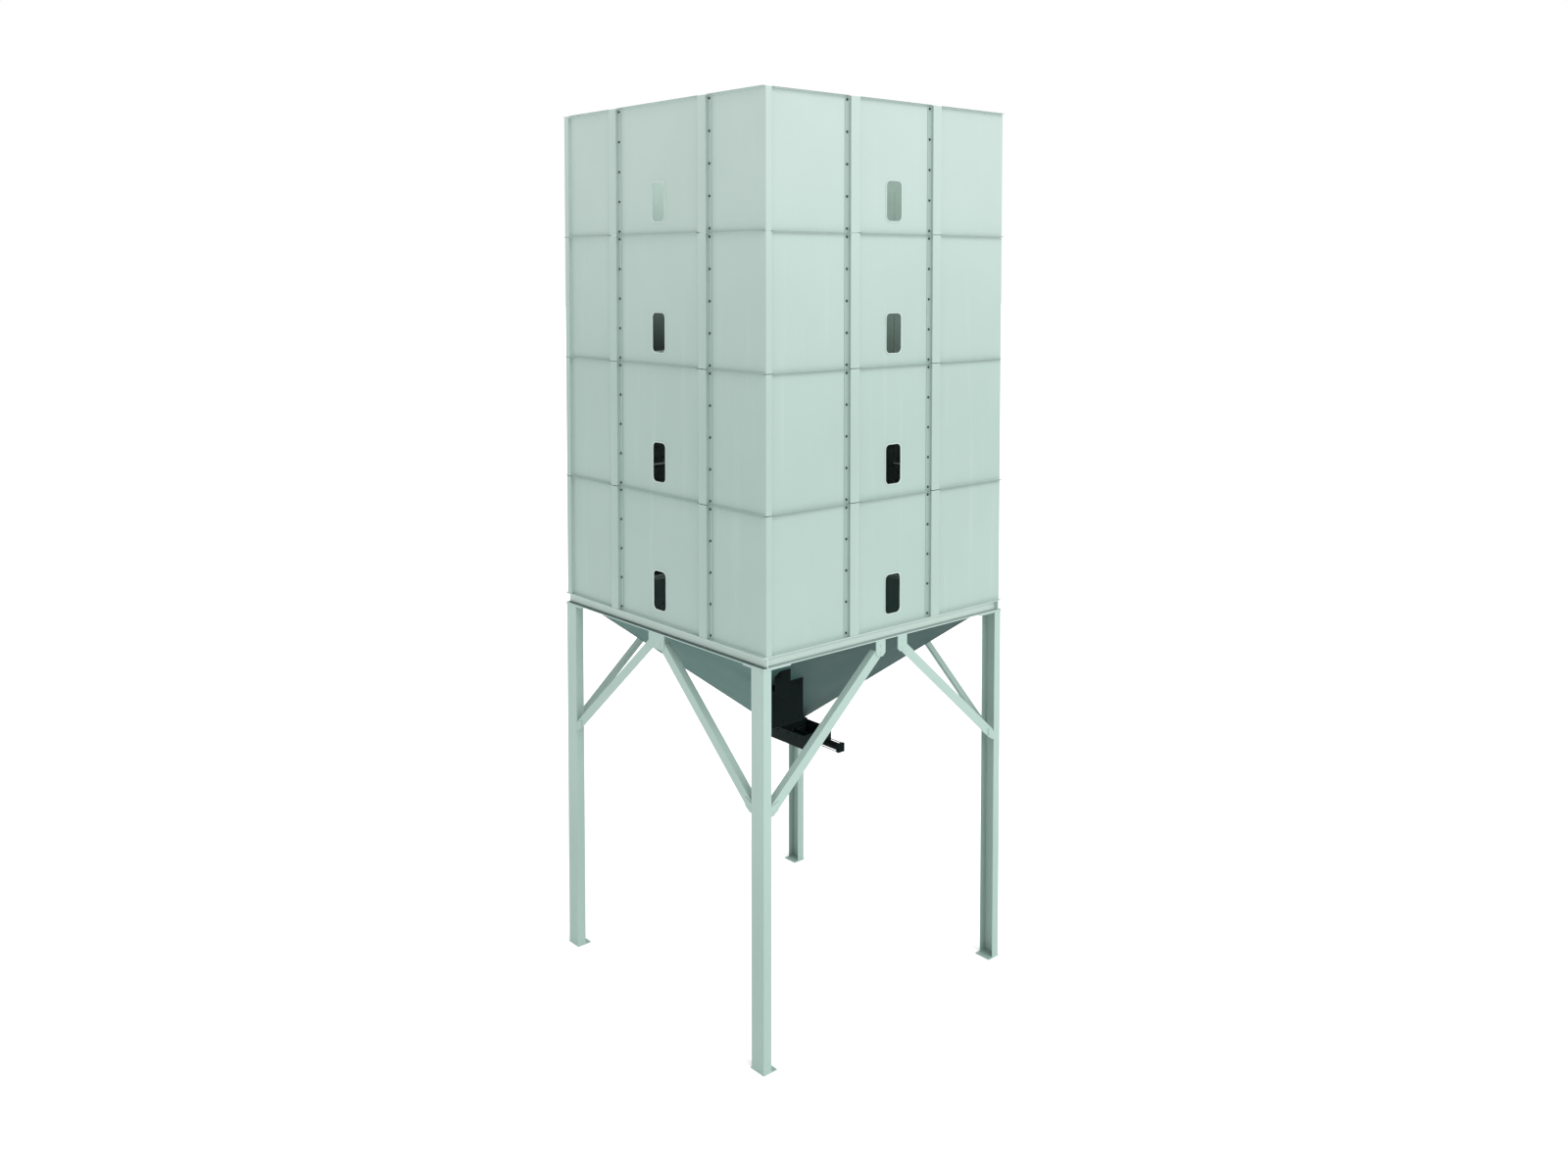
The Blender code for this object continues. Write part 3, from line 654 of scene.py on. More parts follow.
def bent_sheet(line, window_wall=None):
    """The outer surface of one panel of the lowest tier."""
    low, high = BODY_BOTTOM + SHEET, BODY_BOTTOM + TIER - SHEET
    body = bmesh.new()
    # The layer carries the painted shade beside the laps and beads.
    painted_shading = body.verts.layers.float.new("painted_shading")
    foot = []
    for point, amount in zip(line.points, line.painted_shading):
        vertex = body.verts.new(point + Vector((0.0, 0.0, low)))
        vertex[painted_shading] = amount
        foot.append(vertex)
    stretches = [body.edges.new(pair) for pair in zip(foot, foot[1:])]
    raised = bmesh.ops.extrude_edge_only(body, edges=stretches)["geom"]
    top = [part for part in raised if isinstance(part, bmesh.types.BMVert)]
    bmesh.ops.translate(body, vec=(0.0, 0.0, high - low), verts=top)
    faces = [stretch.link_faces[0] for stretch in stretches]
    for face, outward in zip(faces, line.flanges):
        if outward is None:
            continue
        level = [edge for edge in face.edges if abs(edge.verts[0].co.z - edge.verts[1].co.z) < SHEET]
        for edge in level:
            folded = bmesh.ops.extrude_edge_only(body, edges=[edge])["geom"]
            tips = [part for part in folded if isinstance(part, bmesh.types.BMVert)]
            bmesh.ops.translate(body, vec=outward, verts=tips)
    bmesh.ops.remove_doubles(body, verts=body.verts, dist=0.00001)
    bmesh.ops.recalc_face_normals(body, faces=body.faces)
    face_outwards(body)
    round_edges(body, [edge for edge in body.edges if is_fold(edge)], FOLD_REACH, 3)
    if window_wall is not None:
        open_window(body, window_wall)
    return body


print("sheets are folded from plan lines")

# %% [markdown]
# ## All the panels
# Each panel is drawn in the lowest tier and lifted to its own. The one opposite is the same panel turned
# half way round the silo, because the unseen walls repeat the seen ones.

# %% All the panels
def add_panels(kind, names, line, window_wall=None):
    """Adds one panel's eight copies. The names are those of the panel and of the one opposite."""
    count = 0
    for tier in range(TIERS):
        for half_turn, name in enumerate(names):
            body = bent_sheet(line, window_wall)
            lift = Matrix.Translation((0.0, 0.0, tier * TIER))
            bmesh.ops.transform(body, matrix=lift @ turned(2 * half_turn), verts=body.verts)
            node = f"tier{tier + 1}_{name}_{kind}"
            materials = [panel_paint, shaded_inside if window_wall == 1 else lit_inside]
            add_piece(f"folded_{node}", body, materials, [node], thickness=SHEET)
            count += 1
    return count


made = add_panels("panel", ("front", "back"), window_line(0), 0)
made += add_panels("panel", ("right", "left"), window_line(1), 1)
made += add_panels("corner", ("front_right", "back_left"), corner_line(0))
made += add_panels("corner", ("back_right", "front_left"), corner_line(1))
print(made, "folded panels")

# %% [markdown]
# ## Window seals
# Each opening has a rubber seal that grips the edge of the sheet and holds the pane. It starts as one
# square face that takes the window's outline, an inset makes it a ring, and the ring is pulled out and
# its edges are rounded.

# %% Window seals
SEAL_OUT = 0.008         # over the sheet
SEAL_IN = 0.002          # into the opening
SEAL_PROUD = 0.006
SEAL_ROUNDING = 0.0025
SEAL_EDGE = 60           # degrees, over which an edge of the seal is rounded


def window_seal(wall):
    """One seal of the lowest tier."""
    body = bmesh.new()
    place = turned(wall) @ Matrix.Translation((WINDOW_MIDDLE, RECESS - HALF - SEAL_PROUD, WINDOW_HEIGHT))
    place = place @ Matrix.Rotation(math.pi / 2, 4, "X")
    bmesh.ops.create_grid(body, x_segments=1, y_segments=1, size=0.1, matrix=place)
    face = outline_window(body, body.faces[:][0], wall, SEAL_OUT)
    bmesh.ops.inset_individual(body, faces=[face], thickness=SEAL_OUT + SEAL_IN, use_even_offset=True)
    bmesh.ops.delete(body, geom=[face], context="FACES_ONLY")
    thick = turned(wall) @ Vector((0.0, SEAL_PROUD + SHEET, 0.0))
    grown = bmesh.ops.extrude_face_region(body, geom=list(body.faces))["geom"]
    front = [part for part in grown if isinstance(part, bmesh.types.BMVert)]
    bmesh.ops.translate(body, vec=thick, verts=front)
    bmesh.ops.recalc_face_normals(body, faces=body.faces)
    rims = [edge for edge in body.edges if edge.calc_face_angle() > math.radians(SEAL_EDGE)]
    round_edges(body, rims, SEAL_ROUNDING, 2)
    return body


for wall, wall_name in enumerate(WALLS):
    for tier in range(TIERS):
        body = window_seal(wall)
        bmesh.ops.translate(body, vec=(0.0, 0.0, tier * TIER), verts=body.verts)
        add_piece(f"tier{tier + 1}_{wall_name}_window_seal", body, [seal_paint])
print(4 * TIERS, "window seals")

# %% [markdown]
# ## Bolts
# Five bolts hold each lapped foot in each tier. A bolt is a washer with a six-sided head, both made as
# short cones, so each costs a few dozen faces. All the bolts of a wall are one piece.

# %% Bolts
BOLTS = 5
BOLT_END = 0.035         # from the tier's joint to its first bolt
BOLT_IN = 0.025          # from the bead's edge
WASHER = (0.012, 0.0025) # radius and thickness
HEAD = (0.0088, 0.007)


def add_bolt(body, place, washer=WASHER, head=HEAD):
    """A washer and a hexagon head standing up from a surface, along the place's Z axis."""
    radius, thick = washer
    bmesh.ops.create_cone(
        body, cap_ends=True, segments=14, radius1=radius, radius2=radius * 0.93, depth=thick,
        matrix=place @ Matrix.Translation((0.0, 0.0, thick / 2)),
    )
    radius, tall = head
    bmesh.ops.create_cone(
        body, cap_ends=True, segments=6, radius1=radius, radius2=radius * 0.92, depth=tall,
        matrix=place @ Matrix.Translation((0.0, 0.0, thick + tall / 2)),
    )


def facing_out(wall, along, back, height):
    """A place on a wall whose Z axis points outwards."""
    spot = Matrix.Translation((along, back - HALF, height))
    return turned(wall) @ spot @ Matrix.Rotation(math.pi / 2, 4, "X")


bolt_step = (TIER - 2 * BOLT_END) / (BOLTS - 1)
for wall, wall_name in enumerate(WALLS):
    body = bmesh.new()
    side = 1.0 if wall % 2 == 0 else -1.0
    for edge in BEADS[wall % 2]:
        for tier in range(TIERS):
            for number in range(BOLTS):
                height = BODY_BOTTOM + tier * TIER + BOLT_END + number * bolt_step
                add_bolt(body, facing_out(wall, edge + side * BOLT_IN, LAP, height))
    add_piece(f"{wall_name}_wall_bolts", body, [bolt_finish])
print(4 * 2 * TIERS * BOLTS, "bolts on the walls")

# %% [markdown]
# ## Sections, blocks and bars
# The frame is made of channels, angles and cut plates. Each starts as a flat outline that is pulled to its
# length, and then the edges along it are rounded, outer corners and roots alike. A block is rounded on all
# its edges, and a round bar serves as weld, rod or cylinder.

# %% Sections, blocks and bars
def stand(x_axis, y_axis, z_axis, at):
    """A place whose axes point in the stated directions."""
    return Matrix.Translation(at) @ Matrix((x_axis, y_axis, z_axis)).transposed().to_4x4()


def prism(body, points, place, length, rounding):
    """Pulls an outline in X and Y along the place's Z axis and rounds the edges along it."""
    outline = [body.verts.new(place @ Vector((x, y, 0.0))) for x, y in points]
    face = body.faces.new(outline)
    pulled = bmesh.ops.extrude_face_region(body, geom=[face])["geom"]
    ends = [part for part in pulled if isinstance(part, bmesh.types.BMVert)]
    axis = place.to_3x3() @ Vector((0.0, 0.0, 1.0))
    bmesh.ops.translate(body, vec=axis * length, verts=ends)
    sides = {edge for vertex in ends for edge in vertex.link_edges if is_along(edge, axis)}
    round_edges(body, sides, rounding, 3)


def is_along(edge, axis):
    """True for an edge parallel to an axis."""
    first, second = edge.verts
    return abs((second.co - first.co).normalized().dot(axis.normalized())) > 0.999


def block(body, low, high, rounding=0.002):
    """A block between two corners, with rounded edges."""
    low, high = Vector(low), Vector(high)
    place = Matrix.Translation((low + high) / 2) @ Matrix.Diagonal((*(high - low), 1.0))
    made = bmesh.ops.create_cube(body, size=1.0, matrix=place)["verts"]
    round_edges(body, {edge for vertex in made for edge in vertex.link_edges}, rounding, 2)


def bar(body, start, end, radius, segments=8):
    """A round bar between two points."""
    start, end = Vector(start), Vector(end)
    run = end - start
    bmesh.ops.create_cone(
        body, cap_ends=True, segments=segments, radius1=radius, radius2=radius, depth=run.length,
        matrix=Matrix.Translation((start + end) / 2) @ run.to_track_quat("Z", "Y").to_matrix().to_4x4(),
    )


print("sections, blocks and bars ready")

# %% [markdown]
# ## Outlines, plates and welds
# The outlines of the rolled sections come first, then a plate parallel to a wall. A weld is a bar that lies
# in the corner between two pieces. Modelling its ripples would cost far more faces than they are worth, so
# they come from its finish.

# %% Outlines, plates and welds
def channel(width, depth, wall):
    """A channel's outline: the web lies along X at Y = 0 and the flanges run to Y = depth."""
    side = width / 2
    return (
        (-side, 0.0), (side, 0.0), (side, depth), (side - wall, depth),
        (side - wall, wall), (wall - side, wall), (wall - side, depth), (-side, depth),
    )


def angle(width, depth, wall, side):
    """An angle's outline: one side lies along X at Y = 0, and the other stands at the end named by side."""
    half = width / 2
    inner = half - wall
    points = ((-half, 0.0), (half, 0.0), (half, depth), (inner, depth), (inner, wall), (-half, wall))
    return [(x * side, y) for x, y in points]


def wall_plate(body, points, thickness, wall, side=1.0):
    """A plate parallel to a wall and level with the legs, from its outline along and up the wall."""
    place = stand((side, 0.0, 0.0), (0.0, 0.0, 1.0), (0.0, 1.0, 0.0), (0.0, -LEG_FACE, 0.0))
    prism(body, points, turned(wall) @ place, thickness, PLATE_ROUNDING)


def add_closed(name, body, material, slot, *nodes):
    """Adds a piece of closed shapes with all faces outwards, and gives the number of open edges."""
    bmesh.ops.recalc_face_normals(body, faces=body.faces)
    open_edges = sum(1 for edge in body.edges if len(edge.link_faces) != 2)
    add_piece(name, body, [material], nodes)
    return open_edges


def weld_paint(name, roughness, scale, dark, light, shine):
    """Paint over a weld's ripples."""
    finish = Finish(name, roughness)
    ripples = finish.noise(scale, 2.0, 0.6)
    finish.surface(
        Base_Color=finish.mix(ripples, dark, light),
        Specular_IOR_Level=shine,
        Normal=finish.bump(ripples * 0.002),
    )
    return finish.material


weld_finish = weld_paint("weld_paint", 0.5, 110.0, (0.30, 0.40, 0.365), (0.37, 0.48, 0.44), 0.35)
ridge_finish = weld_paint("ridge_paint", 0.55, 90.0, (0.035, 0.075, 0.065), (0.06, 0.11, 0.095), 0.15)
print("welds painted", weld_finish.name, "and", ridge_finish.name)

# %% [markdown]
# ## Ring beam
# Four channels carry the body. They are open outwards, and a painted shadow darkens the root of the lower
# flange, deeper on the front and back beams. The attribute for it is set there, and a cut just above the
# root keeps it from fading up the web.

# %% Ring beam
RING_BOTTOM = 3.41
RING_HEIGHT = 0.10
RING_FLANGE = 0.05
RING_WEB = 0.008
RING_GAP = 0.001         # between the ends of the beams
RING_ROUNDING = 0.0025
ROOT = RING_BOTTOM + RING_WEB
ROOT_BAND = (-0.001, 0.006)      # heights over the root that get the painted shadow
ROOT_CUT = 0.008
ROOT_SHADE = (0.95, 0.55)         # on the front and back beams, and on the other two

open_edges = 0
for wall, wall_name in enumerate(WALLS):
    body = bmesh.new()
    inner = HALF - RING_FLANGE
    length = 2 * HALF if wall % 2 == 0 else 2 * inner - RING_GAP
    at = (-length / 2, -inner, RING_BOTTOM + RING_HEIGHT / 2)
    place = stand((0.0, 0.0, 1.0), (0.0, -1.0, 0.0), (1.0, 0.0, 0.0), at)
    prism(body, channel(RING_HEIGHT, RING_FLANGE, RING_WEB), turned(wall) @ place, length, RING_ROUNDING)
    # The painted shadow in the root of the lower flange.
    painted_shading = body.verts.layers.float.new("painted_shading")
    bmesh.ops.bisect_plane(
        body, geom=list(body.verts) + list(body.edges) + list(body.faces),
        plane_co=(0.0, 0.0, ROOT + ROOT_CUT), plane_no=(0.0, 0.0, 1.0),
    )
    for vertex in body.verts:
        if ROOT_BAND[0] < vertex.co.z - ROOT < ROOT_BAND[1]:
            vertex[painted_shading] = ROOT_SHADE[wall % 2]
    node = f"{wall_name}_ring_beam"
    open_edges += add_closed(f"rolled_{node}", body, lit_beam_paint, "frame", node)
print("4 ring beams,", open_edges, "open edges")

# %% [markdown]
# ## Sizes of the legs
# A leg is a channel with a foot plate, a cap plate under the ring beam and two small plates for the
# braces. A brace's axis is a straight line on its wall, so one formula gives its height at any place, for
# the plates and for the brace alike.

# %% Sizes of the legs
LEG_WIDTH = 0.16
LEG_DEPTH = 0.085
LEG_WALL = 0.006
LEG_ROUNDING = 0.0028
LEG_FACE = HALF - 0.005          # from the silo's axis to the legs' outer faces
FOOT_PLATE = (0.17, 0.145, 0.010)
PLATE_ROUNDING = 0.0015
CAP_ARMS = (0.27, 0.30)
CAP_WIDTH = 0.115
CAP_THICK = 0.012
CAP_GAP = 0.0004
CAP_ROUNDING = 0.002
WELD = 0.004             # radius
WELD_END = 0.001
BRACE_AXES = (3.378, 3.436)      # where a front or side brace's axis would meet the middle of its wall
BRACE_SLOPE = 0.88
BRACE_FACE = HALF - 0.012
LOW_PLATE = ((0.004, -0.028), (-0.022, -0.028), (-0.08, 0.012), (-0.08, 0.085), (0.004, 0.05))
LOW_BOLTS = ((-0.026, 0.0), (-0.06, 0.032))
LOW_WASHER = (0.012, 0.0014)
LOW_HEAD = (0.0085, 0.0034)


def brace_height(wall, along):
    """The height of a brace's axis at a distance from the middle of its wall."""
    return BRACE_AXES[wall % 2] - along * BRACE_SLOPE


print("a front brace meets its leg at", round(brace_height(0, LEG_FACE - LEG_WIDTH), 3), "m")

# %% [markdown]
# ## Legs
# A leg is drawn at the front right corner and mirrored to the other three. Mirroring turns its faces
# inside out, and `add_closed` turns them back.

# %% Legs
CORNERS = (("front_right", 1, 1), ("back_right", 1, -1), ("back_left", -1, -1), ("front_left", -1, 1))


def leg_bodies():
    """The steel, the welds and the bolts of the front right leg."""
    steel, welds, bolts = bmesh.new(), bmesh.new(), bmesh.new()
    place = Matrix.Translation((LEG_FACE - LEG_WIDTH / 2, -LEG_FACE, FOOT_PLATE[2] / 2))
    length = RING_BOTTOM - CAP_THICK / 2 - FOOT_PLATE[2] / 2
    prism(steel, channel(LEG_WIDTH, LEG_DEPTH, LEG_WALL), place, length, LEG_ROUNDING)
    foot_corner = (HALF - FOOT_PLATE[0], -HALF, 0.0)
    block(steel, foot_corner, (HALF, FOOT_PLATE[1] - HALF, FOOT_PLATE[2]), PLATE_ROUNDING)
    arm_x, arm_y = HALF - CAP_ARMS[0], CAP_ARMS[1] - HALF
    cap = (
        (HALF, -HALF), (HALF, arm_y), (HALF - CAP_WIDTH, arm_y), (HALF - CAP_WIDTH, CAP_WIDTH - HALF),
        (arm_x, CAP_WIDTH - HALF), (arm_x, -HALF),
    )
    under_beam = Matrix.Translation((0.0, 0.0, RING_BOTTOM - CAP_GAP - CAP_THICK))
    prism(steel, cap, under_beam, CAP_THICK, CAP_ROUNDING)
    for wall, leg_side, sign in ((0, LEG_WIDTH, 1.0), (1, LEG_DEPTH, -1.0)):
        edge = LEG_FACE - leg_side
        height = brace_height(wall, edge)
        points = [(edge + along, height + up) for along, up in LOW_PLATE]
        wall_plate(steel, points, LEG_FACE - BRACE_FACE - GAP, wall, sign)
        for along, up in LOW_BOLTS:
            spot = facing_out(wall, sign * (edge + along), HALF - LEG_FACE, height + up)
            add_bolt(bolts, spot, LOW_WASHER, LOW_HEAD)
    inner, front, back = LEG_FACE - LEG_WIDTH, WELD_END - LEG_FACE, LEG_DEPTH - LEG_FACE
    for level in (FOOT_PLATE[2], RING_BOTTOM - CAP_THICK):
        bar(welds, (inner, -LEG_FACE, level), (LEG_FACE - WELD_END, -LEG_FACE, level), WELD)
        for side in (LEG_FACE, inner):
            bar(welds, (side, front, level), (side, back, level), WELD)
    return steel, welds, bolts


open_edges = 0
for corner, side_x, side_y in CORNERS:
    steel, welds, bolts = leg_bodies()
    flip = Matrix.Diagonal((side_x, side_y, 1.0, 1.0))
    for body in (steel, welds, bolts):
        bmesh.ops.transform(body, matrix=flip, verts=body.verts)
    open_edges += add_closed(f"rolled_{corner}_leg", steel, frame_paint, "frame", f"{corner}_leg")
    open_edges += add_closed(f"{corner}_leg_welds", welds, weld_finish, "frame")
    open_edges += add_closed(f"{corner}_leg_bolts", bolts, weld_finish, "frame")
print("4 legs,", open_edges, "open edges")

# %% [markdown]
# ## The shape of a brace
# Each brace is an angle with one side on the wall's plane and the other inwards along the top. A plate
# under the ring beam holds the upper ends.

# %% The shape of a brace
BRACE_WIDTH = 0.09
BRACE_DEPTH = 0.07
BRACE_WALL = 0.005
BRACE_ROUNDING = 0.0022
BRACE_STOP = 0.032       # from the leg to the brace's lower end
BRACE_IN = 0.165         # from the wall's middle to a single brace's upper end
PAIR_IN = 0.075
HIGH_PLATE = 0.145       # height of the plate under the ring beam
HIGH_CUT = 0.03
PAIR_PLATE = 0.235
SINGLE_PLATE = (0.08, 0.195)
PAIR_BOLTS = ((0.05, 3.31), (0.085, 3.355))
SINGLE_BOLTS = ((0.137, 3.295), (0.137, 3.36))


def add_brace(body, wall, side):
    """One angle from beside a leg up to the ring beam."""
    inner, leg_side = (PAIR_IN, LEG_WIDTH) if wall % 2 == 0 else (BRACE_IN, LEG_DEPTH)
    outer = LEG_FACE - leg_side - BRACE_STOP
    start = Vector((side * outer, -BRACE_FACE, brace_height(wall, outer)))
    end = Vector((side * inner, -BRACE_FACE, brace_height(wall, inner)))
    run = (end - start).normalized()
    inwards = Vector((0.0, 1.0, 0.0))
    place = stand(inwards.cross(run), inwards, run, start)
    outline = angle(BRACE_WIDTH, BRACE_DEPTH, BRACE_WALL, side)
    prism(body, outline, turned(wall) @ place, (end - start).length, BRACE_ROUNDING)


def high_plate(low_side, high_side):
    """The plate under the ring beam: a rectangle with its lower corners cut off."""
    top = RING_BOTTOM - GAP
    bottom = top - HIGH_PLATE
    return (
        (low_side, top), (low_side, bottom + HIGH_CUT), (low_side + HIGH_CUT, bottom),
        (high_side - HIGH_CUT, bottom), (high_side, bottom + HIGH_CUT), (high_side, top),
    )


print("a brace drops", BRACE_SLOPE, "m in each metre")

# %% [markdown]
# ## Knee braces
# The front and back walls have a pair of braces on one shared plate, and the other two have single braces.
# A brace is drawn for its own side of the wall and not mirrored, so that its outline stays the right way
# round.

# %% Knee braces
open_edges = 0
brace_bolts = bmesh.new()
plate_thick = LEG_FACE - BRACE_FACE + BRACE_WALL / 2
for wall, wall_name in enumerate(WALLS):
    if wall % 2 == 0:
        body = bmesh.new()
        add_brace(body, wall, 1.0)
        add_brace(body, wall, -1.0)
        wall_plate(body, high_plate(-PAIR_PLATE / 2, PAIR_PLATE / 2), plate_thick, wall)
        node = f"{wall_name}_brace_pair"
        open_edges += add_closed(f"rolled_{node}", body, frame_paint, "frame", node)
    else:
        for side, end in ((-1.0, "left_end"), (1.0, "right_end")):
            body = bmesh.new()
            add_brace(body, wall, side)
            wall_plate(body, high_plate(*SINGLE_PLATE), plate_thick, wall, side)
            node = f"{wall_name}_brace_{end}"
            open_edges += add_closed(f"rolled_{node}", body, frame_paint, "frame", node)
    for side in (-1.0, 1.0):
        for along, up in SINGLE_BOLTS if wall % 2 else PAIR_BOLTS:
            spot = facing_out(wall, side * along, HALF - LEG_FACE, up)
            add_bolt(brace_bolts, spot, LOW_WASHER, LOW_HEAD)
open_edges += add_closed("upper_brace_bolts", brace_bolts, weld_finish, "frame")
print("8 braces,", open_edges, "open edges")

# %% [markdown]
# ## Hopper welds and outlet bolts
# The four hopper plates are welded along their ridges. Bolts hold the outlet flange to the gate.

# %% Hopper welds and outlet bolts
HOPPER_FOOT = 2.3106
HOPPER_LOW = 0.155       # half side at the foot
HOPPER_TOP = HALF - RING_FLANGE - GAP    # half side at the top
HOPPER_SLOPE = 0.9
RIDGE_WELD = 0.0045      # radius
RIDGE_END = 0.004        # from the plates' ends
RIDGE_IN = (0.002, 0.006)        # in from the plates' corners, at the foot and at the top
OUTLET_BOLTS = (-0.11, 0.0, 0.11)
OUTLET_BOLT_OUT = 0.168
OUTLET_WASHER = (0.011, 0.002)
OUTLET_HEAD = (0.008, 0.006)
hopper_top = HOPPER_FOOT + (HOPPER_TOP - HOPPER_LOW) * HOPPER_SLOPE

ridges = bmesh.new()
low_out, high_out = HOPPER_LOW - RIDGE_IN[0], HOPPER_TOP - RIDGE_IN[1]
for side_x, side_y in ((1, 1), (1, -1), (-1, 1), (-1, -1)):
    low = (side_x * low_out, side_y * low_out, HOPPER_FOOT + RIDGE_END)
    high = (side_x * high_out, side_y * high_out, hopper_top - RIDGE_END)
    bar(ridges, low, high, RIDGE_WELD)
open_edges = add_closed("hopper_ridge_welds", ridges, ridge_finish, "hopper")

outlet_bolts = bmesh.new()
for along in OUTLET_BOLTS:
    for wall in range(4):
        spot = turned(wall) @ Matrix.Translation((along, -OUTLET_BOLT_OUT, HOPPER_FOOT - GAP))
        add_bolt(outlet_bolts, spot, OUTLET_WASHER, OUTLET_HEAD)
open_edges += add_closed("outlet_bolts", outlet_bolts, bolt_finish, "black")
print("4 ridge welds and", 4 * len(OUTLET_BOLTS), "outlet bolts,", open_edges, "open edges")

# %% [markdown]
# ## Slide gate
# The gate's frame is welded from flat bars around the throat and the pocket, with a slit at half height
# for the blade. Where two bars meet, a hair's breadth is left between them, so that no two faces lie in
# the same plane.

# %% Slide gate
GATE_START, GATE_END = -0.20, 0.52       # along X
GATE_LOW, GATE_HIGH = 2.17, 2.30
GATE_MIDDLE = (GATE_LOW + GATE_HIGH) / 2
GATE_HALF = 0.18         # half width
GATE_BAR = 0.015         # thickness of a bar
HAIR = 0.0001            # left between two bars
GATE_INSIDE = GATE_HALF - GATE_BAR - HAIR
BAR_ROUNDING = 0.003
START_BAR = 0.045        # thickness of the bar at the start
SLIT = 0.006             # half the blade's slit
THROAT = 0.15            # half width of the throat
GUIDE_END = 0.18
DIVIDER = (0.151, 0.181) # between the throat and the pocket
POCKET_FLOOR = 0.014
RIBS = (0.26, 0.35, 0.44)
RIB_THICK, RIB_DEPTH, RIB_DOWN = 0.008, 0.035, 0.02
RIB_ROUNDING = 0.0015


def gate_frame():
    """Rails and guides at the sides, bars across the ends and the middle, the pocket's floor and ribs."""
    body = bmesh.new()
    halves = ((GATE_LOW, GATE_MIDDLE - SLIT), (GATE_MIDDLE + SLIT, GATE_HIGH))
    for side in (-1.0, 1.0):
        rail = sorted((side * GATE_HALF, side * (GATE_HALF - GATE_BAR)))
        block(body, (GATE_START, rail[0], GATE_LOW), (GATE_END, rail[1], GATE_HIGH), BAR_ROUNDING)
        guide = sorted((side * GATE_INSIDE, side * THROAT))
        for low, high in halves:
            block(body, (GATE_START + GATE_BAR, guide[0], low), (GUIDE_END, guide[1], high))
        rib = sorted((side * (GATE_INSIDE - HAIR), side * (GATE_HALF - RIB_DEPTH)))
        for along in RIBS:
            foot = (along, rib[0], GATE_LOW + POCKET_FLOOR + HAIR)
            block(body, foot, (along + RIB_THICK, rib[1], GATE_HIGH - RIB_DOWN), RIB_ROUNDING)
    for low, high in halves:
        block(body, (DIVIDER[0], -GATE_INSIDE, low), (DIVIDER[1], GATE_INSIDE, high))
    for start, end in ((GATE_START, GATE_START + START_BAR), (GATE_END - GATE_BAR, GATE_END)):
        block(body, (start, -GATE_INSIDE, GATE_LOW), (end, GATE_INSIDE, GATE_HIGH), BAR_ROUNDING)
    floor_start, floor_end = DIVIDER[1] + HAIR, GATE_END - GATE_BAR - HAIR
    block(body, (floor_start, -GATE_INSIDE, GATE_LOW), (floor_end, GATE_INSIDE, GATE_LOW + POCKET_FLOOR))
    return body


open_edges = add_closed("welded_gate_frame", gate_frame(), gate_paint, "black", "gate_frame")
print("gate frame,", open_edges, "open edges")

# %% [markdown]
# ## The gate's cylinder
# The cylinder has two square heads held together by four tie rods, with a port in each. Its rod goes
# through the end of the gate's frame to the blade.

# %% The gate's cylinder
REACH = 0.8503           # the cylinder's far end
FLANGE_PLATE = (0.5205, 0.5325, 0.05)    # start, end and half side
CYLINDER_HEADS = ((0.533, 0.565), (REACH - 0.032, REACH))
HEAD_HALF = 0.041
HEAD_ROUNDING = 0.004
BARREL = (0.034, 0.0005) # radius, and gap to the heads
ROD = (0.192, 0.5204, 0.0095)            # start, end and radius
TIE_OUT = 0.033
TIE_ROD = (0.004, 0.0002)                # radius, and gap to the heads
TIE_NUT = (0.006, 0.001) # radius and thickness
PORTS = (0.549, REACH - 0.016)
PORT = (0.0408, 0.0495, 0.008)           # foot and tip over the middle, and radius

cylinder = bmesh.new()
start, end, half = FLANGE_PLATE
block(cylinder, (start, -half, GATE_MIDDLE - half), (end, half, GATE_MIDDLE + half))
for start, end in CYLINDER_HEADS:
    low = (start, -HEAD_HALF, GATE_MIDDLE - HEAD_HALF)
    block(cylinder, low, (end, HEAD_HALF, GATE_MIDDLE + HEAD_HALF), HEAD_ROUNDING)
near, far = CYLINDER_HEADS[0][1], CYLINDER_HEADS[1][0]
radius, gap = BARREL
bar(cylinder, (near + gap, 0.0, GATE_MIDDLE), (far - gap, 0.0, GATE_MIDDLE), radius, 40)
bar(cylinder, (ROD[0], 0.0, GATE_MIDDLE), (ROD[1], 0.0, GATE_MIDDLE), ROD[2], 20)
for side_y in (-TIE_OUT, TIE_OUT):
    for side_z in (-TIE_OUT, TIE_OUT):
        at = (side_y, GATE_MIDDLE + side_z)
        radius, gap = TIE_ROD
        bar(cylinder, (near + gap, *at), (far - gap, *at), radius, 10)
        bar(cylinder, (REACH, *at), (REACH - TIE_NUT[1], *at), TIE_NUT[0], 6)
for along in PORTS:
    foot, tip, radius = PORT
    bar(cylinder, (along, 0.0, GATE_MIDDLE + foot), (along, 0.0, GATE_MIDDLE + tip), radius, 12)
open_edges = add_closed("tie_rod_cylinder", cylinder, black_paint, "black", "gate_cylinder")
print("cylinder,", open_edges, "open edges")

# %% [markdown]
# ## Gate bolts
# Bolts along both rails hold the gate's flat bars, in the same dark paint as the frame. `facing_out` is
# used again here, with the rail's distance from the axis in place of the wall's.

# %% Gate bolts
GATE_BOLTS = (-0.15, -0.05, 0.05, 0.15, 0.29, 0.41, 0.49)
GATE_BOLT_DOWN = 0.03    # from the frame's top
GATE_HEAD = (0.0085, 0.006)

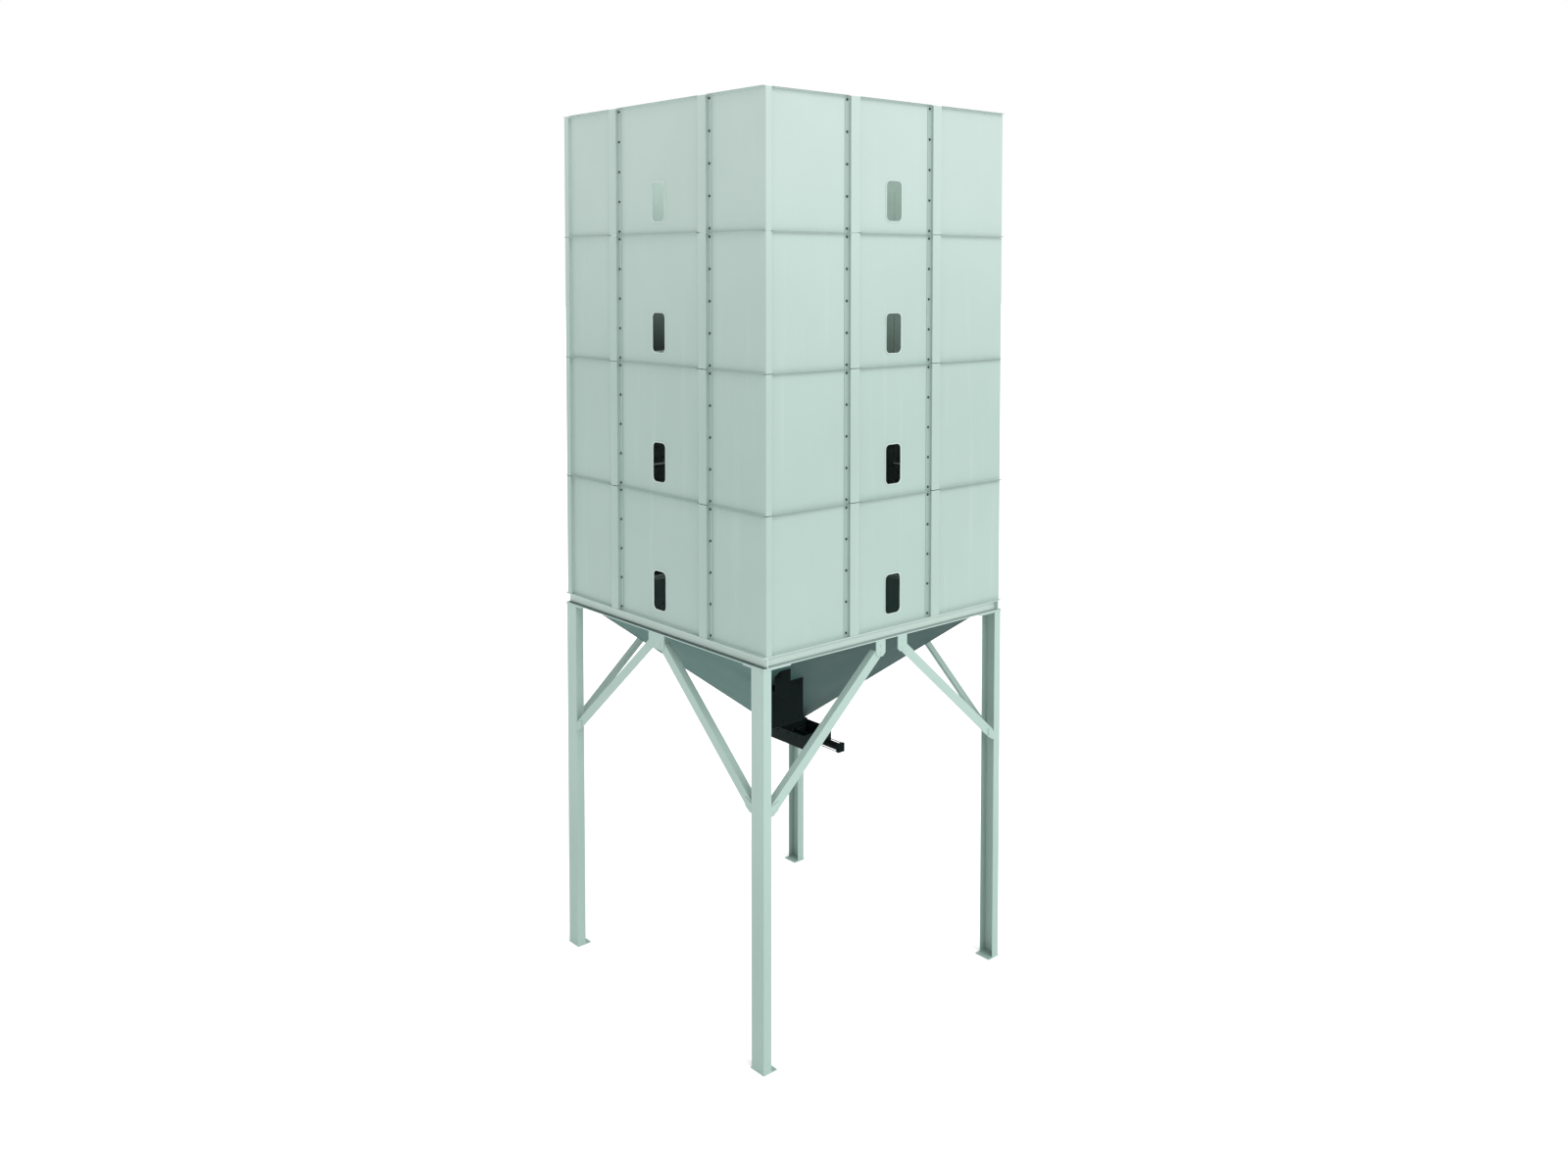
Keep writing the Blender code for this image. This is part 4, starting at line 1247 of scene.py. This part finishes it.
gate_bolts = bmesh.new()
for along in GATE_BOLTS:
    for side, wall in ((1.0, 0), (-1.0, 2)):
        spot = facing_out(wall, side * along, HALF - GATE_HALF, GATE_HIGH - GATE_BOLT_DOWN)
        add_bolt(gate_bolts, spot, OUTLET_WASHER, GATE_HEAD)
open_edges = add_closed("gate_bolts", gate_bolts, gate_paint, "black")
print(2 * len(GATE_BOLTS), "gate bolts,", open_edges, "open edges")

# %% [markdown]
# ## Under the hopper's plate
# The black housing hangs under the sloping right plate, so its outline is cut along the slope. It is drawn
# from the side and pulled across the plate.

# %% Under the hopper's plate
PLATE_GAP = 0.0006       # between the housing and the plate


def hopper_height(half_side):
    """The height just under the hopper's outer face at a distance from its axis."""
    return HOPPER_FOOT + (half_side - HOPPER_LOW) * HOPPER_SLOPE - PLATE_GAP


def side_prism(body, points, low_side, high_side, rounding):
    """An outline in X and Z pulled across the hopper's right plate."""
    place = stand((1.0, 0.0, 0.0), (0.0, 0.0, 1.0), (0.0, -1.0, 0.0), (0.0, high_side, 0.0))
    prism(body, points, place, high_side - low_side, rounding)


print("the right plate's underside is at", round(hopper_height(1.0), 3), "m, one metre out")

# %% [markdown]
# ## Black housing
# The housing is a folded box with a screwed cover on its upright front. A narrow neck goes on from it and
# up to the plate.

# %% Black housing
BOX_FRONT = 0.987
BOX_BACK = 0.83
BOX_BOTTOM = 2.67
BOX_SIDES = (-1.06, -0.604)
BOX_NECK = (-1.05, -0.94)
NECK_BACK = 1.12
NECK_FRONT = 1.20
NECK_BOTTOM = 3.02
NECK_PASSAGE = 0.03      # height of the passage from the box to the neck
NECK_LAP = 0.01          # it starts this far inside the box
COVER_FACE = 0.99
COVER_IN = 0.02          # from the box's edges to the cover's
COVER_DOWN = 0.03        # from the plate to the cover's top
SCREW_IN = 0.025         # from the cover's edge to its screws
COVER_WASHER = (0.009, 0.0015)
COVER_HEAD = (0.007, 0.004)
BOX_ROUNDING, NECK_ROUNDING, COVER_ROUNDING = 0.006, 0.004, 0.0012

housing = bmesh.new()
outline = (
    (BOX_BACK, BOX_BOTTOM), (BOX_FRONT, BOX_BOTTOM), (BOX_FRONT, hopper_height(BOX_FRONT)),
    (BOX_BACK, hopper_height(BOX_BACK)),
)
side_prism(housing, outline, *BOX_SIDES, BOX_ROUNDING)
neck_start = BOX_FRONT - NECK_LAP
neck = (
    (neck_start, NECK_BOTTOM), (NECK_FRONT, NECK_BOTTOM), (NECK_FRONT, hopper_height(NECK_FRONT)),
    (NECK_BACK, hopper_height(NECK_BACK)), (NECK_BACK, NECK_BOTTOM + NECK_PASSAGE),
    (neck_start, NECK_BOTTOM + NECK_PASSAGE),
)
side_prism(housing, neck, *BOX_NECK, NECK_ROUNDING)
cover_low = (BOX_SIDES[0] + COVER_IN, BOX_BOTTOM + COVER_IN)
cover_high = (BOX_SIDES[1] - COVER_IN, hopper_height(BOX_FRONT) - COVER_DOWN)
block(housing, (BOX_FRONT, *cover_low), (COVER_FACE, *cover_high), COVER_ROUNDING)
open_edges = add_closed("folded_side_box", housing, black_paint, "black", "hopper_side_box")

cover_bolts = bmesh.new()
for across in (cover_low[0] + SCREW_IN, sum(BOX_SIDES) / 2, cover_high[0] - SCREW_IN):
    for height in (cover_low[1] + SCREW_IN, cover_high[1] - SCREW_IN):
        spot = Matrix.Translation((COVER_FACE, across, height)) @ Matrix.Rotation(math.pi / 2, 4, "Y")
        add_bolt(cover_bolts, spot, COVER_WASHER, COVER_HEAD)
open_edges += add_closed("cover_bolts", cover_bolts, black_paint, "black")
print("black housing and its cover,", open_edges, "open edges")

# %% [markdown]
# ## Floor and light
# The floor is a plain pale plane with a faint glow, so it reads as white under the sky. The sky lights
# everything evenly, and one broad sun from the right makes that wall the brighter one.

# %% Floor and light
FLOOR_SIZE = 400.0
FLOOR_GLOW = 0.15
SKY = 1.0
SUN = 1.7
SUN_SPREAD = 40          # degrees
SUN_ANGLES = (math.radians(48), 0.0, math.radians(90))

floor_body = bmesh.new()
bmesh.ops.create_grid(floor_body, x_segments=1, y_segments=1, size=FLOOR_SIZE / 2)
floor_mesh = bpy.data.meshes.new("floor")
floor_body.to_mesh(floor_mesh)
floor_body.free()
floor_finish = Finish("pale_floor", 0.9)
floor_finish.surface(
    Base_Color=(0.95, 0.95, 0.95), Specular_IOR_Level=0.0, Emission_Color=(1.0, 1.0, 1.0),
    Emission_Strength=FLOOR_GLOW,
)
floor_mesh.materials.append(floor_finish.material)
floor = in_scene("floor", floor_mesh)

world = bpy.data.worlds.new("studio")
bpy.context.scene.world = world
world.use_nodes = True
sky = world.node_tree.nodes["Background"]
sky.inputs["Color"].default_value = (1.0, 1.0, 1.0, 1.0)
sky.inputs["Strength"].default_value = SKY
sun_data = bpy.data.lights.new("sun", "SUN")
sun_data.energy = SUN
sun_data.angle = math.radians(SUN_SPREAD)
in_scene("sun", sun_data).rotation_euler = SUN_ANGLES
bpy.context.scene.view_settings.view_transform = "Standard"
print("floor, sky and sun")

# %% [markdown]
# ## Camera
# The camera looks almost level from above the right front corner. A small shift of its window keeps the
# uprights nearly parallel, where tilting it down would make them run together.

# %% Camera
CAMERA_PLACE = (9.721, -8.465, 6.672)
CAMERA_YAW = 138.84      # direction of view, from +X
CAMERA_PITCH = -2.86
CAMERA_LENS = 30.76
CAMERA_SHIFT = -0.16

camera_data = bpy.data.cameras.new("camera")
camera_data.lens = CAMERA_LENS
camera_data.sensor_width = 36.0
camera_data.shift_y = CAMERA_SHIFT
camera_data.clip_end = 1000.0
camera = in_scene("camera", camera_data)
camera.location = CAMERA_PLACE
camera.rotation_euler = (math.radians(90.0 + CAMERA_PITCH), 0.0, math.radians(CAMERA_YAW - 90.0))
bpy.context.scene.camera = camera
print("camera at", CAMERA_PLACE)
